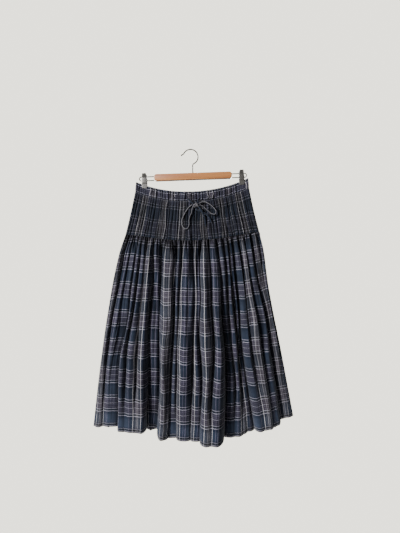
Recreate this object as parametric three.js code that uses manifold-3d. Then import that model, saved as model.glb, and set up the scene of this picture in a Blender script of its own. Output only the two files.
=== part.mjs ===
// A gathered tartan midi skirt, clipped by its waistband to a small wooden clip hanger.
// Millimetres, +Z up, -Y is the front of the skirt. The origin is the inside of the hook's
// crook, where the hanger hangs. The cloth hangs plumb; the hanger is tipped by a few degrees.

import * as THREE from "three";
import { mergeVertices } from "three/addons/utils/BufferGeometryUtils.js";
import Module from "manifold-3d";

// ---------------------------------------------------------------- driving dimensions

const SEAM_GAP = 0.3; // between two pieces that are sewn or lie together
const CLOTH_WALL = 2.6; // one layer of gathered cloth, front to back
const BAND_WALL = 3.0; // the waist casing with its elastic, front to back
const HANGER_TILT = THREE.MathUtils.degToRad(2.05); // the right end hangs higher

// Levels of the garment from waist to hip. leftX, rightX: the side seams. leftZ, rightZ, midZ:
// height at the seams and at the middle, sag: how sharply the middle dips between them.
// front, back: how far the middle stands out from the side seams' plane. round: 0 where the two
// bands lie together outside the clips, 1 where the section is a full lens.
const WAIST_TOP = {
  leftX: -162.3, rightX: 173.4, leftZ: -96.4, rightZ: -84.4, midZ: -126.7,
  sag: 1.0, front: 10, back: 5, round: 0,
};
const WAIST_MIDDLE = {
  leftX: -164, rightX: 175, leftZ: -111.2, rightZ: -99.2, midZ: -141.3,
  sag: 1.0, front: 12, back: 6.5, round: 0,
};
const WAIST_SEAM = {
  leftX: -165, rightX: 176, leftZ: -126, rightZ: -114, midZ: -155.8,
  sag: 1.0, front: 13, back: 7, round: 0.15,
};
const YOKE_MIDDLE = {
  leftX: -179, rightX: 190.5, leftZ: -192, rightZ: -182, midZ: -215.5,
  sag: 1.2, front: 21, back: 12, round: 0.7,
};
const HIP_SEAM = {
  leftX: -194, rightX: 207, leftZ: -255, rightZ: -247, midZ: -273.5,
  sag: 1.5, front: 28, back: 15, round: 1,
};
const HEM = { leftZ: -826.5, rightZ: -796.5 }; // at the side seams

// Sections of the gathered skirt between hip seam and hem. down: share of its length. flare:
// share of the way from the hip's depth to the hem's. ruffle: the small gathers' depth.
const SKIRT_SECTIONS = [
  { down: 0.0, leftX: -194, rightX: 207, flare: 0.0, ruffle: 7.0 },
  { down: 0.1, leftX: -212.5, rightX: 219.5, flare: 0.12, ruffle: 8.5 },
  { down: 0.27, leftX: -233.5, rightX: 231.5, flare: 0.33, ruffle: 8.0 },
  { down: 0.5, leftX: -255, rightX: 256.5, flare: 0.56, ruffle: 5.0 },
  { down: 0.75, leftX: -275, rightX: 283, flare: 0.78, ruffle: 3.0 },
  { down: 1.0, leftX: -290, rightX: 308.5, flare: 1.0, ruffle: 2.0 },
];

// Hanging folds at the hem, from the left seam to the right one. x, z: where the ridge meets
// the hem. ridge: how far it stands out from the seams' plane. valley: the same for the hollow
// after it.
const FRONT_FOLDS = [
  { x: -273, z: -826, ridge: 11, valley: 1 },
  { x: -241, z: -821, ridge: 20, valley: 4 },
  { x: -209, z: -828, ridge: 42, valley: 22 },
  { x: -171, z: -832, ridge: 42, valley: 22 },
  { x: -142, z: -832, ridge: 44, valley: 12 },
  { x: -79, z: -842, ridge: 82, valley: 60 },
  { x: -50, z: -839, ridge: 70, valley: 50 },
  { x: -16, z: -843, ridge: 86, valley: 64 },
  { x: 15, z: -843, ridge: 90, valley: 66 },
  { x: 43, z: -843, ridge: 117, valley: 98 },
  { x: 73, z: -842, ridge: 116, valley: 54 },
  { x: 113, z: -832, ridge: 70, valley: 48 },
  { x: 141, z: -832, ridge: 68, valley: 44 },
  { x: 170, z: -824, ridge: 50, valley: 18 },
  { x: 201, z: -823, ridge: 56, valley: 34 },
  { x: 230, z: -817, ridge: 52, valley: 28 },
  { x: 259, z: -811, ridge: 38, valley: 10 },
  { x: 289, z: -798, ridge: 12, valley: 0 },
];
const BACK_FOLDS = [
  { x: -266, z: -831, ridge: 14, valley: 2 },
  { x: -226, z: -836, ridge: 20, valley: 6 },
  { x: -184, z: -841, ridge: 24, valley: 4 },
  { x: -142, z: -845, ridge: 22, valley: 8 },
  { x: -98, z: -847, ridge: 24, valley: 5 },
  { x: -58, z: -848, ridge: 21, valley: 6 },
  { x: -14, z: -847, ridge: 24, valley: 3 },
  { x: 30, z: -845, ridge: 23, valley: 6 },
  { x: 72, z: -841, ridge: 24, valley: 5 },
  { x: 118, z: -836, ridge: 20, valley: 8 },
  { x: 160, z: -830, ridge: 24, valley: 4 },
  { x: 204, z: -822, ridge: 22, valley: 6 },
  { x: 244, z: -813, ridge: 20, valley: 2 },
  { x: 286, z: -803, ridge: 13, valley: 0 },
];
const FOLD_ROUNDNESS = 0.35; // 0 for even waves, towards 1 for broad ridges and narrow hollows

const YOKE_GATHERS = 26;
const YOKE_GATHER_DEPTH = 5;
const BAND_GATHERS = 40;
const BAND_GATHER_DEPTH = 2.4;

// The hanger, in its own upright frame.
const HOOK_WIRE = 3.5;
const HOOK_RADIUS = 22.5; // of the crook's centreline
const HOOK_TIP = 5;
const SHAFT_X = 5.2;
const BAR = { length: 233, height: 20, depth: 16, middleZ: -80, bevel: 2.5, corner: 3 };
const RAIL = { wire: 3, upperZ: -76, lowerZ: -87.5, turnX: 155 };
const CLIP = { x: 145.5, width: 16, plate: 1.4, barrel: 3.9, barrelZ: -81.75 };
const JAW_FACE = BAND_WALL + 1.5 * SEAM_GAP; // inner face of a jaw from the seams' plane

// The drawstring.
const CORD = 4;
const KNOT = { x: 16.8, z: -169.3, halfWidth: 10.5, halfHeight: 7.5, halfDepth: 6 };

// ---------------------------------------------------------------- materials

const material = (color, roughness, metalness = 0) =>
  new THREE.MeshStandardMaterial({ color, roughness, metalness });

const NAVY_CLOTH = "#2b3140";
const YOKE_CLOTH = "#262b38";
const CORD_CLOTH = "#1c212c";
const BEECH = "#c39a76";
const CHROME = "#c9c9c7";

// ---------------------------------------------------------------- small helpers

const { lerp, smoothstep, clamp } = THREE.MathUtils;

function piece(name, geometry, looks) {
  const mesh = new THREE.Mesh(geometry, looks);
  mesh.name = name;
  return mesh;
}

// A closed wall of cloth. point(column, row) gives {x, out, z}: out is how far the outer face
// stands from the seams' plane. facing: -1 for the front of the garment, +1 for its back.
function clothWall(columns, rows, wall, facing, point) {
  const positions = [];
  const stride = rows + 1;
  for (const depth of [0, wall]) {
    for (let i = 0; i <= columns; i++) {
      for (let j = 0; j <= rows; j++) {
        const { x, out, z } = point(i, j);
        positions.push(x, facing * (out - depth), z);
      }
    }
  }
  const inside = (columns + 1) * stride;
  const corner = (i, j, layer) => layer * inside + i * stride + j;
  const triangles = [];
  const quad = (a, b, c, d) => {
    if (facing < 0) triangles.push(a, b, c, a, c, d);
    else triangles.push(a, c, b, a, d, c);
  };
  for (let i = 0; i < columns; i++) {
    for (let j = 0; j < rows; j++) {
      quad(corner(i, j, 0), corner(i, j + 1, 0), corner(i + 1, j + 1, 0), corner(i + 1, j, 0));
      quad(corner(i, j, 1), corner(i + 1, j, 1), corner(i + 1, j + 1, 1), corner(i, j + 1, 1));
    }
    quad(corner(i, 0, 0), corner(i + 1, 0, 0), corner(i + 1, 0, 1), corner(i, 0, 1));
    quad(corner(i, rows, 1), corner(i + 1, rows, 1), corner(i + 1, rows, 0), corner(i, rows, 0));
  }
  for (let j = 0; j < rows; j++) {
    quad(corner(0, j, 1), corner(0, j + 1, 1), corner(0, j + 1, 0), corner(0, j, 0));
    const last = columns;
    quad(corner(last, j, 0), corner(last, j + 1, 0), corner(last, j + 1, 1), corner(last, j, 1));
  }
  const geometry = new THREE.BufferGeometry();
  geometry.setAttribute("position", new THREE.Float32BufferAttribute(positions, 3));
  geometry.setIndex(triangles);
  geometry.computeVertexNormals();
  return geometry;
}

// ---------------------------------------------------------------- sections of the garment

const lens = (across) => (1 - (2 * across - 1) ** 2) ** 0.75;
const dip = (across, sharpness) => (1 - (2 * across - 1) ** 2) ** sharpness;

// Where a point of the hanger's upright frame comes to lie once it is tipped.
function tipped(x, z) {
  const cos = Math.cos(HANGER_TILT);
  const sin = Math.sin(HANGER_TILT);
  return { x: x * cos - z * sin, z: x * sin + z * cos };
}

const CLIP_CENTRES = [-1, 1].map((side) => tipped(SHAFT_X + side * CLIP.x, -105).x);
const CLIP_MIDDLE = (CLIP_CENTRES[0] + CLIP_CENTRES[1]) / 2;
const CLIP_REACH = (CLIP_CENTRES[1] - CLIP_CENTRES[0]) / 2 - CLIP.width / 2 - 4;

// The waist's open mouth between the clips: 0 at the clips and beyond, 1 in the middle.
const mouth = (x) => smoothstep(1 - Math.abs(x - CLIP_MIDDLE) / CLIP_REACH, 0, 0.9);

// How freely the gathers stand beside a clip: 0 under the jaws, 1 well away from them.
function freeOfClips(x) {
  const near = Math.min(...CLIP_CENTRES.map((centre) => Math.abs(x - centre)));
  return smoothstep(near, CLIP.width / 2 + 1.5, CLIP.width / 2 + 14);
}

function sectionPoint(level, across, middleDepth) {
  const x = lerp(level.leftX, level.rightX, across);
  const seamZ = lerp(level.leftZ, level.rightZ, across);
  const middleDip = level.midZ - (level.leftZ + level.rightZ) / 2;
  const z = seamZ + middleDip * dip(across, level.sag);
  const depth = middleDepth * lerp(mouth(x), lens(across), level.round);
  return { x, z, depth };
}

// Uneven sizes for gathers that a needle has drawn up, repeatable and never below least.
const uneven = (index, least) => least + (1 - least) * (0.5 + 0.5 * Math.sin(2.4 * index + 1));

// ---------------------------------------------------------------- waistband and yoke

// A gathered strip between levels. rowLevels: its rows from the top. pinch: how much the clips
// flatten the gathers of each row.
function gatheredStrip({ rowLevels, pinch, gathers, perGather, depth, wall, facing }) {
  const columns = gathers * perGather;
  const rows = rowLevels.length - 1;
  const side = facing < 0 ? "front" : "back";
  return clothWall(columns, rows, wall, facing, (i, j) => {
    const level = rowLevels[j];
    const across = i / columns;
    const base = sectionPoint(level, across, level[side]);
    const gather = Math.floor(i / perGather);
    const wave = (1 - Math.cos((2 * Math.PI * i) / perGather)) / 2;
    const free = lerp(1, freeOfClips(base.x), pinch[j]);
    const ripple = depth * uneven(gather, 0.6) * wave * free;
    const seamShift = j === 0 ? -SEAM_GAP / 2 : j === rows ? SEAM_GAP / 2 : 0;
    return { x: base.x, out: SEAM_GAP / 2 + wall + base.depth + ripple, z: base.z + seamShift };
  });
}

const waistband = (facing) =>
  gatheredStrip({
    rowLevels: [WAIST_TOP, WAIST_MIDDLE, WAIST_SEAM],
    pinch: [1, 1, 0.5],
    gathers: BAND_GATHERS,
    perGather: 2,
    depth: BAND_GATHER_DEPTH,
    wall: BAND_WALL,
    facing,
  });

const yoke = (facing) =>
  gatheredStrip({
    rowLevels: [WAIST_SEAM, YOKE_MIDDLE, HIP_SEAM],
    pinch: [0.5, 0, 0],
    gathers: YOKE_GATHERS,
    perGather: 4,
    depth: YOKE_GATHER_DEPTH,
    wall: CLOTH_WALL,
    facing,
  });

// ---------------------------------------------------------------- gathered skirt

const COLUMNS_PER_FOLD = 8;

// One side of the gathered skirt. Each fold is a cell from hollow to hollow; at the hip the
// cells are even, and at the hem their ridges lie where the table says.
function skirtPanel(folds, facing) {
  const side = facing < 0 ? "front" : "back";
  const hem = SKIRT_SECTIONS[SKIRT_SECTIONS.length - 1];
  const hemAcross = (x) => (x - hem.leftX) / (hem.rightX - hem.leftX);
  const midway = (column, k) => (folds[k - 1][column] + folds[k][column]) / 2;
  const hollows = [{ across: 0, z: HEM.leftZ, out: 0 }];
  for (let k = 1; k < folds.length; k++) {
    hollows.push({
      across: hemAcross(midway("x", k)), z: midway("z", k), out: folds[k - 1].valley,
    });
  }
  hollows.push({ across: 1, z: HEM.rightZ, out: 0 });

  return clothWall(
    folds.length * COLUMNS_PER_FOLD, SKIRT_SECTIONS.length - 1, CLOTH_WALL, facing,
    (i, j) => {
      const section = SKIRT_SECTIONS[j];
      const k = Math.min(Math.floor(i / COLUMNS_PER_FOLD), folds.length - 1);
      const phase = i / COLUMNS_PER_FOLD - k;
      const rounded = phase - (FOLD_ROUNDNESS / (2 * Math.PI)) * Math.sin(2 * Math.PI * phase);
      const fold = folds[k];
      const hollow = phase < 0.5 ? hollows[k] : hollows[k + 1];
      const fromHollow = phase < 0.5 ? 2 * rounded : 2 - 2 * rounded;
      const atHem = lerp(hollow.across, hemAcross(fold.x), fromHollow);
      const atHip = (k + rounded) / folds.length;
      const across = lerp(atHip, atHem, section.down);

      const ridge = (1 - Math.cos(2 * Math.PI * phase)) / 2;
      const ruffle = ((1 - Math.cos(4 * Math.PI * phase)) / 2) * section.ruffle;
      const hip = sectionPoint(HIP_SEAM, atHip, HIP_SEAM[side]);
      const hemOut = lerp(hollow.out, fold.ridge, ridge);
      const out = lerp(hip.depth, hemOut, section.flare) + ruffle * uneven(k, 0.7);
      const z = lerp(hip.z, lerp(hollow.z, fold.z, ridge), section.down);
      const seamShift = j === 0 ? -SEAM_GAP / 2 : 0;
      return {
        x: lerp(section.leftX, section.rightX, across),
        out: SEAM_GAP / 2 + CLOTH_WALL + out,
        z: z + seamShift,
      };
    },
  );
}

// ---------------------------------------------------------------- cords and wires

const SECTION_SIDES = 8;

function roundSection(diameter) {
  const shape = new THREE.Shape();
  for (let i = 0; i < SECTION_SIDES; i++) {
    const angle = (2 * Math.PI * i) / SECTION_SIDES;
    const x = (diameter / 2) * Math.cos(angle);
    const y = (diameter / 2) * Math.sin(angle);
    if (i === 0) shape.moveTo(x, y);
    else shape.lineTo(x, y);
  }
  return shape;
}

function tubeAlong(path, diameter, steps) {
  return new THREE.ExtrudeGeometry(roundSection(diameter), {
    steps, extrudePath: path, bevelEnabled: false,
  });
}

function smoothPath(points) {
  const stops = points.map(([x, y, z]) => new THREE.Vector3(x, y, z));
  return new THREE.CatmullRomCurve3(stops, false, "centripetal");
}

function cordAlong(points) {
  const path = smoothPath(points);
  return tubeAlong(path, CORD, Math.ceil(path.getLength() / (2.2 * CORD)));
}

// How far the front stands out at a height on the yoke's middle, over its gathers' crests.
function yokeCrest(z) {
  const share = clamp((WAIST_SEAM.midZ - z) / (WAIST_SEAM.midZ - HIP_SEAM.midZ), 0, 1);
  const bulge = lerp(WAIST_SEAM.front, HIP_SEAM.front, share);
  return SEAM_GAP / 2 + CLOTH_WALL + YOKE_GATHER_DEPTH + bulge;
}

// A route over the yoke. Each stop is [x, z, layer]; layer 0 lies on the cloth, and layer 1 lies
// on a cord that lies on the cloth.
const overYoke = (stops) =>
  stops.map(([x, z, layer]) => [
    x, -(yokeCrest(z) + SEAM_GAP + CORD / 2 + layer * (CORD + SEAM_GAP)), z,
  ]);

const KNOT_Y = -(yokeCrest(KNOT.z) + KNOT.halfDepth - 0.3);

// Routes of the bow: x, z and layer of each stop, from the knot.
const LEFT_LOOP = [
  [8.4, -175.4, 0.5], [4.6, -182, 0.2], [3.4, -193, 0], [-1.2, -203, 0], [-3.6, -214, 0],
  [-3.2, -228, 0], [-8.5, -238.5, 0], [-16, -238.5, 0], [-22, -231, 0], [-24.6, -219, 0],
  [-21, -206, 0], [-14.5, -192, 0], [-5, -177.5, 0.1], [5.4, -168.8, 0.5],
];
const RIGHT_LOOP = [
  [26.6, -164.2, 0.7], [35, -159.5, 0.3], [46, -160.5, 0.1], [58, -167.5, 0], [68.5, -176.5, 0],
  [75.5, -187.5, 0], [72.5, -196.5, 0], [62, -195, 0], [51.5, -186.5, 0], [42, -178, 0],
  [34.5, -172.5, 0.2], [28.3, -169.6, 0.7],
];
const FRONT_TAIL = [
  [24.0, -175.1, 0.9], [29.5, -180.5, 1.1], [35, -189, 1.1], [39.5, -199.5, 0.6], [43, -211, 0],
  [44.6, -221, 0], [45, -231, 0],
];
const UNDER_TAIL = [
  [16.5, -178.3, 0.3], [21.5, -183.5, 0], [32, -188, -0.05], [43, -193.5, 0], [52, -201.5, 0],
  [58.5, -211, 0], [61, -221, 0],
];
const LEFT_LEAD = [
  [-6, -18.9, -149.5], [-5.4, -23.6, -151.5], [1, -26.5, -158], [9, KNOT_Y, -166],
];
const RIGHT_LEAD = [
  [25, -18.9, -149], [24.6, -23.6, -151], [22.5, -26.5, -157], [20, KNOT_Y, -165],
];

// ---------------------------------------------------------------- joined solids

const wasm = await Module();
wasm.setup();

function toSolid(geometry) {
  const bare = geometry.clone();
  bare.deleteAttribute("normal");
  bare.deleteAttribute("uv");
  const merged = mergeVertices(bare, 1e-4);
  return new wasm.Manifold(
    new wasm.Mesh({
      numProp: 3,
      vertProperties: merged.getAttribute("position").array,
      triVerts: new Uint32Array(merged.index.array),
    }),
  );
}

function joined(geometries) {
  const solid = geometries.map(toSolid).reduce((whole, next) => whole.add(next));
  const mesh = solid.getMesh();
  const geometry = new THREE.BufferGeometry();
  const positions = [];
  for (let i = 0; i < mesh.vertProperties.length; i += mesh.numProp) {
    positions.push(...mesh.vertProperties.slice(i, i + 3));
  }
  geometry.setAttribute("position", new THREE.Float32BufferAttribute(positions, 3));
  geometry.setIndex(Array.from(mesh.triVerts));
  geometry.computeVertexNormals();
  return geometry;
}

// The bow's knot with the two leads that come out of the band's buttonholes.
function knotWithLeads() {
  const ball = new THREE.SphereGeometry(1, 12, 8);
  ball.scale(KNOT.halfWidth, KNOT.halfDepth, KNOT.halfHeight);
  ball.translate(KNOT.x, KNOT_Y, KNOT.z);
  const leads = [LEFT_LEAD, RIGHT_LEAD].map((route) => tubeAlong(smoothPath(route), CORD, 5));
  return joined([ball, ...leads]);
}

// ---------------------------------------------------------------- hanger

// The hook: a flared tip with a ball, the crook, a kink back to the middle, and the shaft.
function hook() {
  const centreZ = HOOK_WIRE / 2 - HOOK_RADIUS;
  const onCrook = (degrees) => {
    const angle = THREE.MathUtils.degToRad(degrees);
    return [HOOK_RADIUS * Math.cos(angle), 0, centreZ + HOOK_RADIUS * Math.sin(angle)];
  };
  const points = [[-26.4, 0, -14.9], [-23, 0, -12.8]];
  for (let degrees = 150; degrees >= -50; degrees -= 20) points.push(onCrook(degrees));
  const barTop = BAR.middleZ + BAR.height / 2;
  points.push([6.6, 0, -43.4]);
  for (const z of [-49, -58, barTop + SEAM_GAP]) points.push([SHAFT_X, 0, z]);
  const wire = tubeAlong(smoothPath(points), HOOK_WIRE, 30);
  const tip = new THREE.SphereGeometry(HOOK_TIP / 2, 8, 6);
  tip.translate(...points[0]);
  return joined([wire, tip]);
}

function woodenBar() {
  const { length, height, depth, middleZ, bevel, corner } = BAR;
  const halfLength = length / 2 - bevel;
  const halfHeight = height / 2 - bevel;
  const face = new THREE.Shape();
  face.moveTo(-halfLength + corner, -halfHeight);
  face.lineTo(halfLength - corner, -halfHeight);
  face.lineTo(halfLength, -halfHeight + corner);
  face.lineTo(halfLength, halfHeight - corner);
  face.lineTo(halfLength - corner, halfHeight);
  face.lineTo(-halfLength + corner, halfHeight);
  face.lineTo(-halfLength, halfHeight - corner);
  face.lineTo(-halfLength, -halfHeight + corner);
  face.closePath();
  const bar = new THREE.ExtrudeGeometry(face, {
    depth: depth - 2 * bevel, steps: 1, bevelEnabled: true,
    bevelThickness: bevel, bevelSize: bevel, bevelSegments: 2,
  });
  bar.translate(0, 0, -(depth - 2 * bevel) / 2);
  bar.rotateX(Math.PI / 2);
  bar.translate(SHAFT_X, 0, middleZ);
  return bar;
}

// The two rail wires on one side are one bent wire, closed by a round turn past the clip.
function rail(side) {
  const middleZ = (RAIL.upperZ + RAIL.lowerZ) / 2;
  const turn = (RAIL.upperZ - RAIL.lowerZ) / 2;
  const start = BAR.length / 2 + SEAM_GAP;
  const points = [];
  const add = (x, z) => points.push([SHAFT_X + side * x, 0, z]);
  for (const share of [0, 0.5, 1]) add(lerp(start, RAIL.turnX - 1, share), RAIL.upperZ);
  for (const degrees of [60, 30, 0, -30, -60]) {
    const angle = THREE.MathUtils.degToRad(degrees);
    add(RAIL.turnX + turn * Math.cos(angle), middleZ + turn * Math.sin(angle));
  }
  for (const share of [1, 0.5, 0]) add(lerp(start, RAIL.turnX - 1, share), RAIL.lowerZ);
  return tubeAlong(smoothPath(points), RAIL.wire, 24);
}

// One plate of a clip, bent from strip: a squeeze tab that leans out, a flat over the barrel,
// and a jaw against the band. facing: -1 in front, +1 behind.
function clipPlate(side, facing) {
  const barrelFace = CLIP.barrel + SEAM_GAP;
  const innerFace = [
    { out: 8.5, z: -66 },
    { out: barrelFace, z: CLIP.barrelZ + 3 },
    { out: barrelFace, z: CLIP.barrelZ - 3 },
    { out: barrelFace + 0.4, z: -93 },
    { out: JAW_FACE, z: -98 },
    { out: JAW_FACE, z: -110.5 },
  ];
  const profile = new THREE.Shape();
  innerFace.forEach(({ out, z }, i) => {
    if (i === 0) profile.moveTo(out, z);
    else profile.lineTo(out, z);
  });
  for (const { out, z } of [...innerFace].reverse()) profile.lineTo(out + CLIP.plate, z);
  profile.closePath();
  const plate = new THREE.ExtrudeGeometry(profile, { depth: CLIP.width, bevelEnabled: false });
  plate.translate(0, 0, -CLIP.width / 2);
  // The profile is drawn as (out, z) and pulled along the bar's length.
  plate.rotateX(Math.PI / 2);
  plate.rotateZ((facing * Math.PI) / 2);
  plate.translate(SHAFT_X + side * CLIP.x, 0, 0);
  return plate;
}

function clipBarrel(side) {
  const barrel = new THREE.CylinderGeometry(CLIP.barrel, CLIP.barrel, CLIP.width - 3, 10);
  barrel.rotateZ(Math.PI / 2);
  barrel.translate(SHAFT_X + side * CLIP.x, 0, CLIP.barrelZ);
  return barrel;
}

// ---------------------------------------------------------------- the whole object

const part = new THREE.Group();

const skirt = new THREE.Group();
skirt.add(piece("skirt_front", skirtPanel(FRONT_FOLDS, -1), material(NAVY_CLOTH, 0.9)));
skirt.add(piece("skirt_back", skirtPanel(BACK_FOLDS, 1), material(NAVY_CLOTH, 0.9)));
skirt.add(piece("yoke_front", yoke(-1), material(YOKE_CLOTH, 0.9)));
skirt.add(piece("yoke_back", yoke(1), material(YOKE_CLOTH, 0.9)));
skirt.add(piece("waistband_front", waistband(-1), material(NAVY_CLOTH, 0.9)));
skirt.add(piece("waistband_back", waistband(1), material(NAVY_CLOTH, 0.9)));
part.add(skirt);

const drawstring = new THREE.Group();
drawstring.add(piece("bow_knot", knotWithLeads(), material(CORD_CLOTH, 0.85)));
const bowRoutes = {
  bow_loop_left: LEFT_LOOP,
  bow_loop_right: RIGHT_LOOP,
  bow_tail_front: FRONT_TAIL,
  bow_tail_under: UNDER_TAIL,
};
for (const [name, route] of Object.entries(bowRoutes)) {
  drawstring.add(piece(name, cordAlong(overYoke(route)), material(CORD_CLOTH, 0.85)));
}
part.add(drawstring);

const hanger = new THREE.Group();
hanger.rotation.y = -HANGER_TILT;
hanger.add(piece("hanger_hook", hook(), material(CHROME, 0.2, 1)));
hanger.add(piece("hanger_bar", woodenBar(), material(BEECH, 0.45)));
for (const [name, side] of [["left", -1], ["right", 1]]) {
  hanger.add(piece(`rail_${name}`, rail(side), material(CHROME, 0.2, 1)));
  hanger.add(piece(`clip_${name}_front`, clipPlate(side, -1), material(CHROME, 0.25, 1)));
  hanger.add(piece(`clip_${name}_back`, clipPlate(side, 1), material(CHROME, 0.25, 1)));
  hanger.add(piece(`clip_${name}_barrel`, clipBarrel(side), material(CHROME, 0.3, 1)));
}
part.add(hanger);

export default part;
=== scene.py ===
"""A gathered tartan midi skirt that hangs by its waistband from a small wooden clip hanger.

Metres in Blender, millimetres in the tables here. +Z is up, -Y is the front of the skirt and the
origin is the inside of the hook's crook. Each operator makes one piece or a group of like pieces.
"""

import bisect
import math
from collections import namedtuple

import bmesh
import bpy
from mathutils import Matrix, Vector, noise


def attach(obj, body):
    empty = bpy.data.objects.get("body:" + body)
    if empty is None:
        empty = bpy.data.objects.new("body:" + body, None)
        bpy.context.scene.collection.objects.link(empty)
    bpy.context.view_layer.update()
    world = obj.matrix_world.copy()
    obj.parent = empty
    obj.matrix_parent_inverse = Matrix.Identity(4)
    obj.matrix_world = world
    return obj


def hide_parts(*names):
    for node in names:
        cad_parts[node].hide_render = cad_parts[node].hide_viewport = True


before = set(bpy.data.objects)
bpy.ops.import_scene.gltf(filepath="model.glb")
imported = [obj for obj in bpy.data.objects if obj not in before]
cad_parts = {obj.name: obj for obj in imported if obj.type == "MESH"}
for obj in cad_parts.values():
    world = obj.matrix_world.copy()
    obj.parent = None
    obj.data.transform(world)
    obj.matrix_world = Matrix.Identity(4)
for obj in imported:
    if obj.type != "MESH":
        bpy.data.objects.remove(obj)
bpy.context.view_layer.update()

bl_info = {
    "name": "Gathered Tartan Skirt",
    "version": (1, 0, 0),
    "blender": (4, 5, 0),
    "location": "3D View > Sidebar > Skirt",
    "description": "Builds a gathered tartan skirt on a clip hanger, piece by piece",
    "category": "Add Mesh",
}

MM = 0.001
CLOTH_UV = "cloth"  # metres across and along the cloth

# ------------------------------------------------------------------ the garment's form

SIDES = (("front", -1), ("back", 1))  # with the way each faces along Y
ENDS = (("left", -1), ("right", 1))  # with the way each lies along X
SEAM_GAP = 0.3  # between neighbouring pieces
CLOTH_WALL, BAND_WALL = 2.6, 3.0  # how far the cloth's outer face stands from the middle

# Levels from waist to hip: the side seams' x and z, the middle's z, how sharply the middle dips,
# how far front and back stand out in the middle, and how far the section is a full lens.
Level = namedtuple("Level", "left_x right_x left_z right_z mid_z sag front back round")
WAIST_TOP = Level(-162.3, 173.4, -96.4, -84.4, -126.7, 1.0, 10, 5, 0)
WAIST_MIDDLE = Level(-164, 175, -111.2, -99.2, -141.3, 1.0, 12, 6.5, 0)
WAIST_SEAM = Level(-165, 176, -126, -114, -155.8, 1.0, 13, 7, 0.15)
YOKE_MIDDLE = Level(-179, 190.5, -192, -182, -215.5, 1.2, 21, 12, 0.7)
HIP_SEAM = Level(-194, 207, -255, -247, -273.5, 1.5, 28, 15, 1)
HEM_Z = (-826.5, -796.5)  # at the left and right side seams
PANEL_LENGTH, YOKE_HEIGHT, BAND_HEIGHT = 575, 127, 29.5  # of the cloth from edge to edge

# Sections of the gathered skirt. down: share of its length; flare: share of the way from the
# hip's depth to the hem's; gather: depth of the small gathers.
Section = namedtuple("Section", "down left_x right_x flare gather")
SECTIONS = (
    Section(0.0, -194, 207, 0.0, 8.0),
    Section(0.1, -212.5, 219.5, 0.12, 15.0),
    Section(0.27, -233.5, 231.5, 0.33, 14.0),
    Section(0.5, -255, 256.5, 0.56, 9.0),
    Section(0.75, -275, 283, 0.78, 5.0),
    Section(1.0, -290, 308.5, 1.0, 1.5),
)
SECTION_COLUMNS = Section(*zip(*SECTIONS))  # the same, with a tuple for each column

# Hanging folds of the front, left to right. gathers: small gathers that run into the fold at the
# hip; hip to hem: x of the hollow at its right, at the five heights of TRACK_DOWN; ridge_x,
# ridge, hem_z: the ridge's x, depth and height at the hem; hollow: depth of the hollow at its
# right at the hem; valley: how much deeper that hollow is higher up; tuck: how far the cloth
# wraps into it, past 1 where it folds over itself; check: x at the hem where the check's pale
# pair starts, or None where the check carries on from the fold before.
TRACK_DOWN = (0.0, 0.1, 0.31, 0.65, 1.0)
LEFT_SEAM = (-194, -212.5, -237, -267, -290)  # x of the left side seam at the same heights
Fold = namedtuple(
    "Fold", "gathers hip high middle low hem ridge_x ridge hollow hem_z valley tuck check"
)
FRONT_FOLDS = (
    Fold(1, -179, -197, -218, -251, -258, -273, 12, 9, -826, 6, 0.5, -283),
    Fold(2, -151, -160, -176, -206, -214, -237, 20, 5, -822, 12, 1.3, None),
    Fold(1, -142, -148, -161, -189, -190, -206, 43, 38, -828, 10, 0.6, -166),
    Fold(1, -124, -130, -143, -164, -160, -172, 43, 41, -831, 18, 0.9, None),
    Fold(1, -106, -112, -118, -126, -130, -144, 44, 2, -832, 20, 1.4, None),
    Fold(1, -85, -88, -95, -92, -98, -113, 7, 3, -829, 16, 1.2, -150),
    Fold(3, -38, -38, -46, -52, -63, -81, 68, 50, -842, 26, 1.1, -89),
    Fold(1, -26, -26, -30, -37, -38, -50, 49, 49, -842, 24, 1.2, None),
    Fold(1, 6, 6, 10, 6, 2, -17, 74, 66, -842, 38, 1.2, -54),
    Fold(2, 32, 32, 33, 34, 29, 16, 76, 72, -842, 36, 1.3, -14),
    Fold(1, 54, 58, 63, 67, 59, 43, 110, 105, -842, 40, 1.2, 38),
    Fold(1, 76, 83, 95, 99, 97, 74, 108, 42, -842, 30, 1.3, None),
    Fold(1, 97, 102, 111, 126, 129, 114, 60, 57, -836, 20, 1.0, 149),
    Fold(1, 108, 114, 121, 143, 156, 142, 58, 51, -835, 18, 0.8, None),
    Fold(1, 120, 128, 135, 157, 188, 170, 43, 14, -826, 34, 1.4, None),
    Fold(1, 138, 147, 161, 187, 217, 201, 56, 52, -823, 8, 0.4, 219),
    Fold(1, 158, 168, 184, 216, 244, 230, 54, 42, -817, 8, 0.7, None),
    Fold(1, 177, 186, 208, 240, 270, 258, 34, 6, -812, 6, 0.6, None),
    Fold(2, 207, 219.5, 235, 272.5, 308.5, 289, 12, 0, -798, 6, 0.5, 269),
)

# Hanging folds of the back: ridge_x, ridge, hollow and hem_z as above, even at the hip.
BackFold = namedtuple("BackFold", "ridge_x ridge hollow hem_z")
BACK_FOLDS = (
    BackFold(-266, 14, 2, -831),
    BackFold(-226, 20, 6, -836),
    BackFold(-184, 24, 4, -841),
    BackFold(-142, 22, 8, -845),
    BackFold(-98, 24, 5, -847),
    BackFold(-58, 21, 6, -848),
    BackFold(-14, 24, 3, -847),
    BackFold(30, 23, 6, -845),
    BackFold(72, 24, 5, -841),
    BackFold(118, 20, 8, -836),
    BackFold(160, 24, 4, -830),
    BackFold(204, 22, 6, -822),
    BackFold(244, 20, 2, -813),
    BackFold(286, 13, 0, -803),
)
BACK_GATHERS_PER_FOLD = 3

BACK_VALLEY, BACK_TUCK = 12, 1.0  # as in the front's table, the same for every hollow

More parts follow.
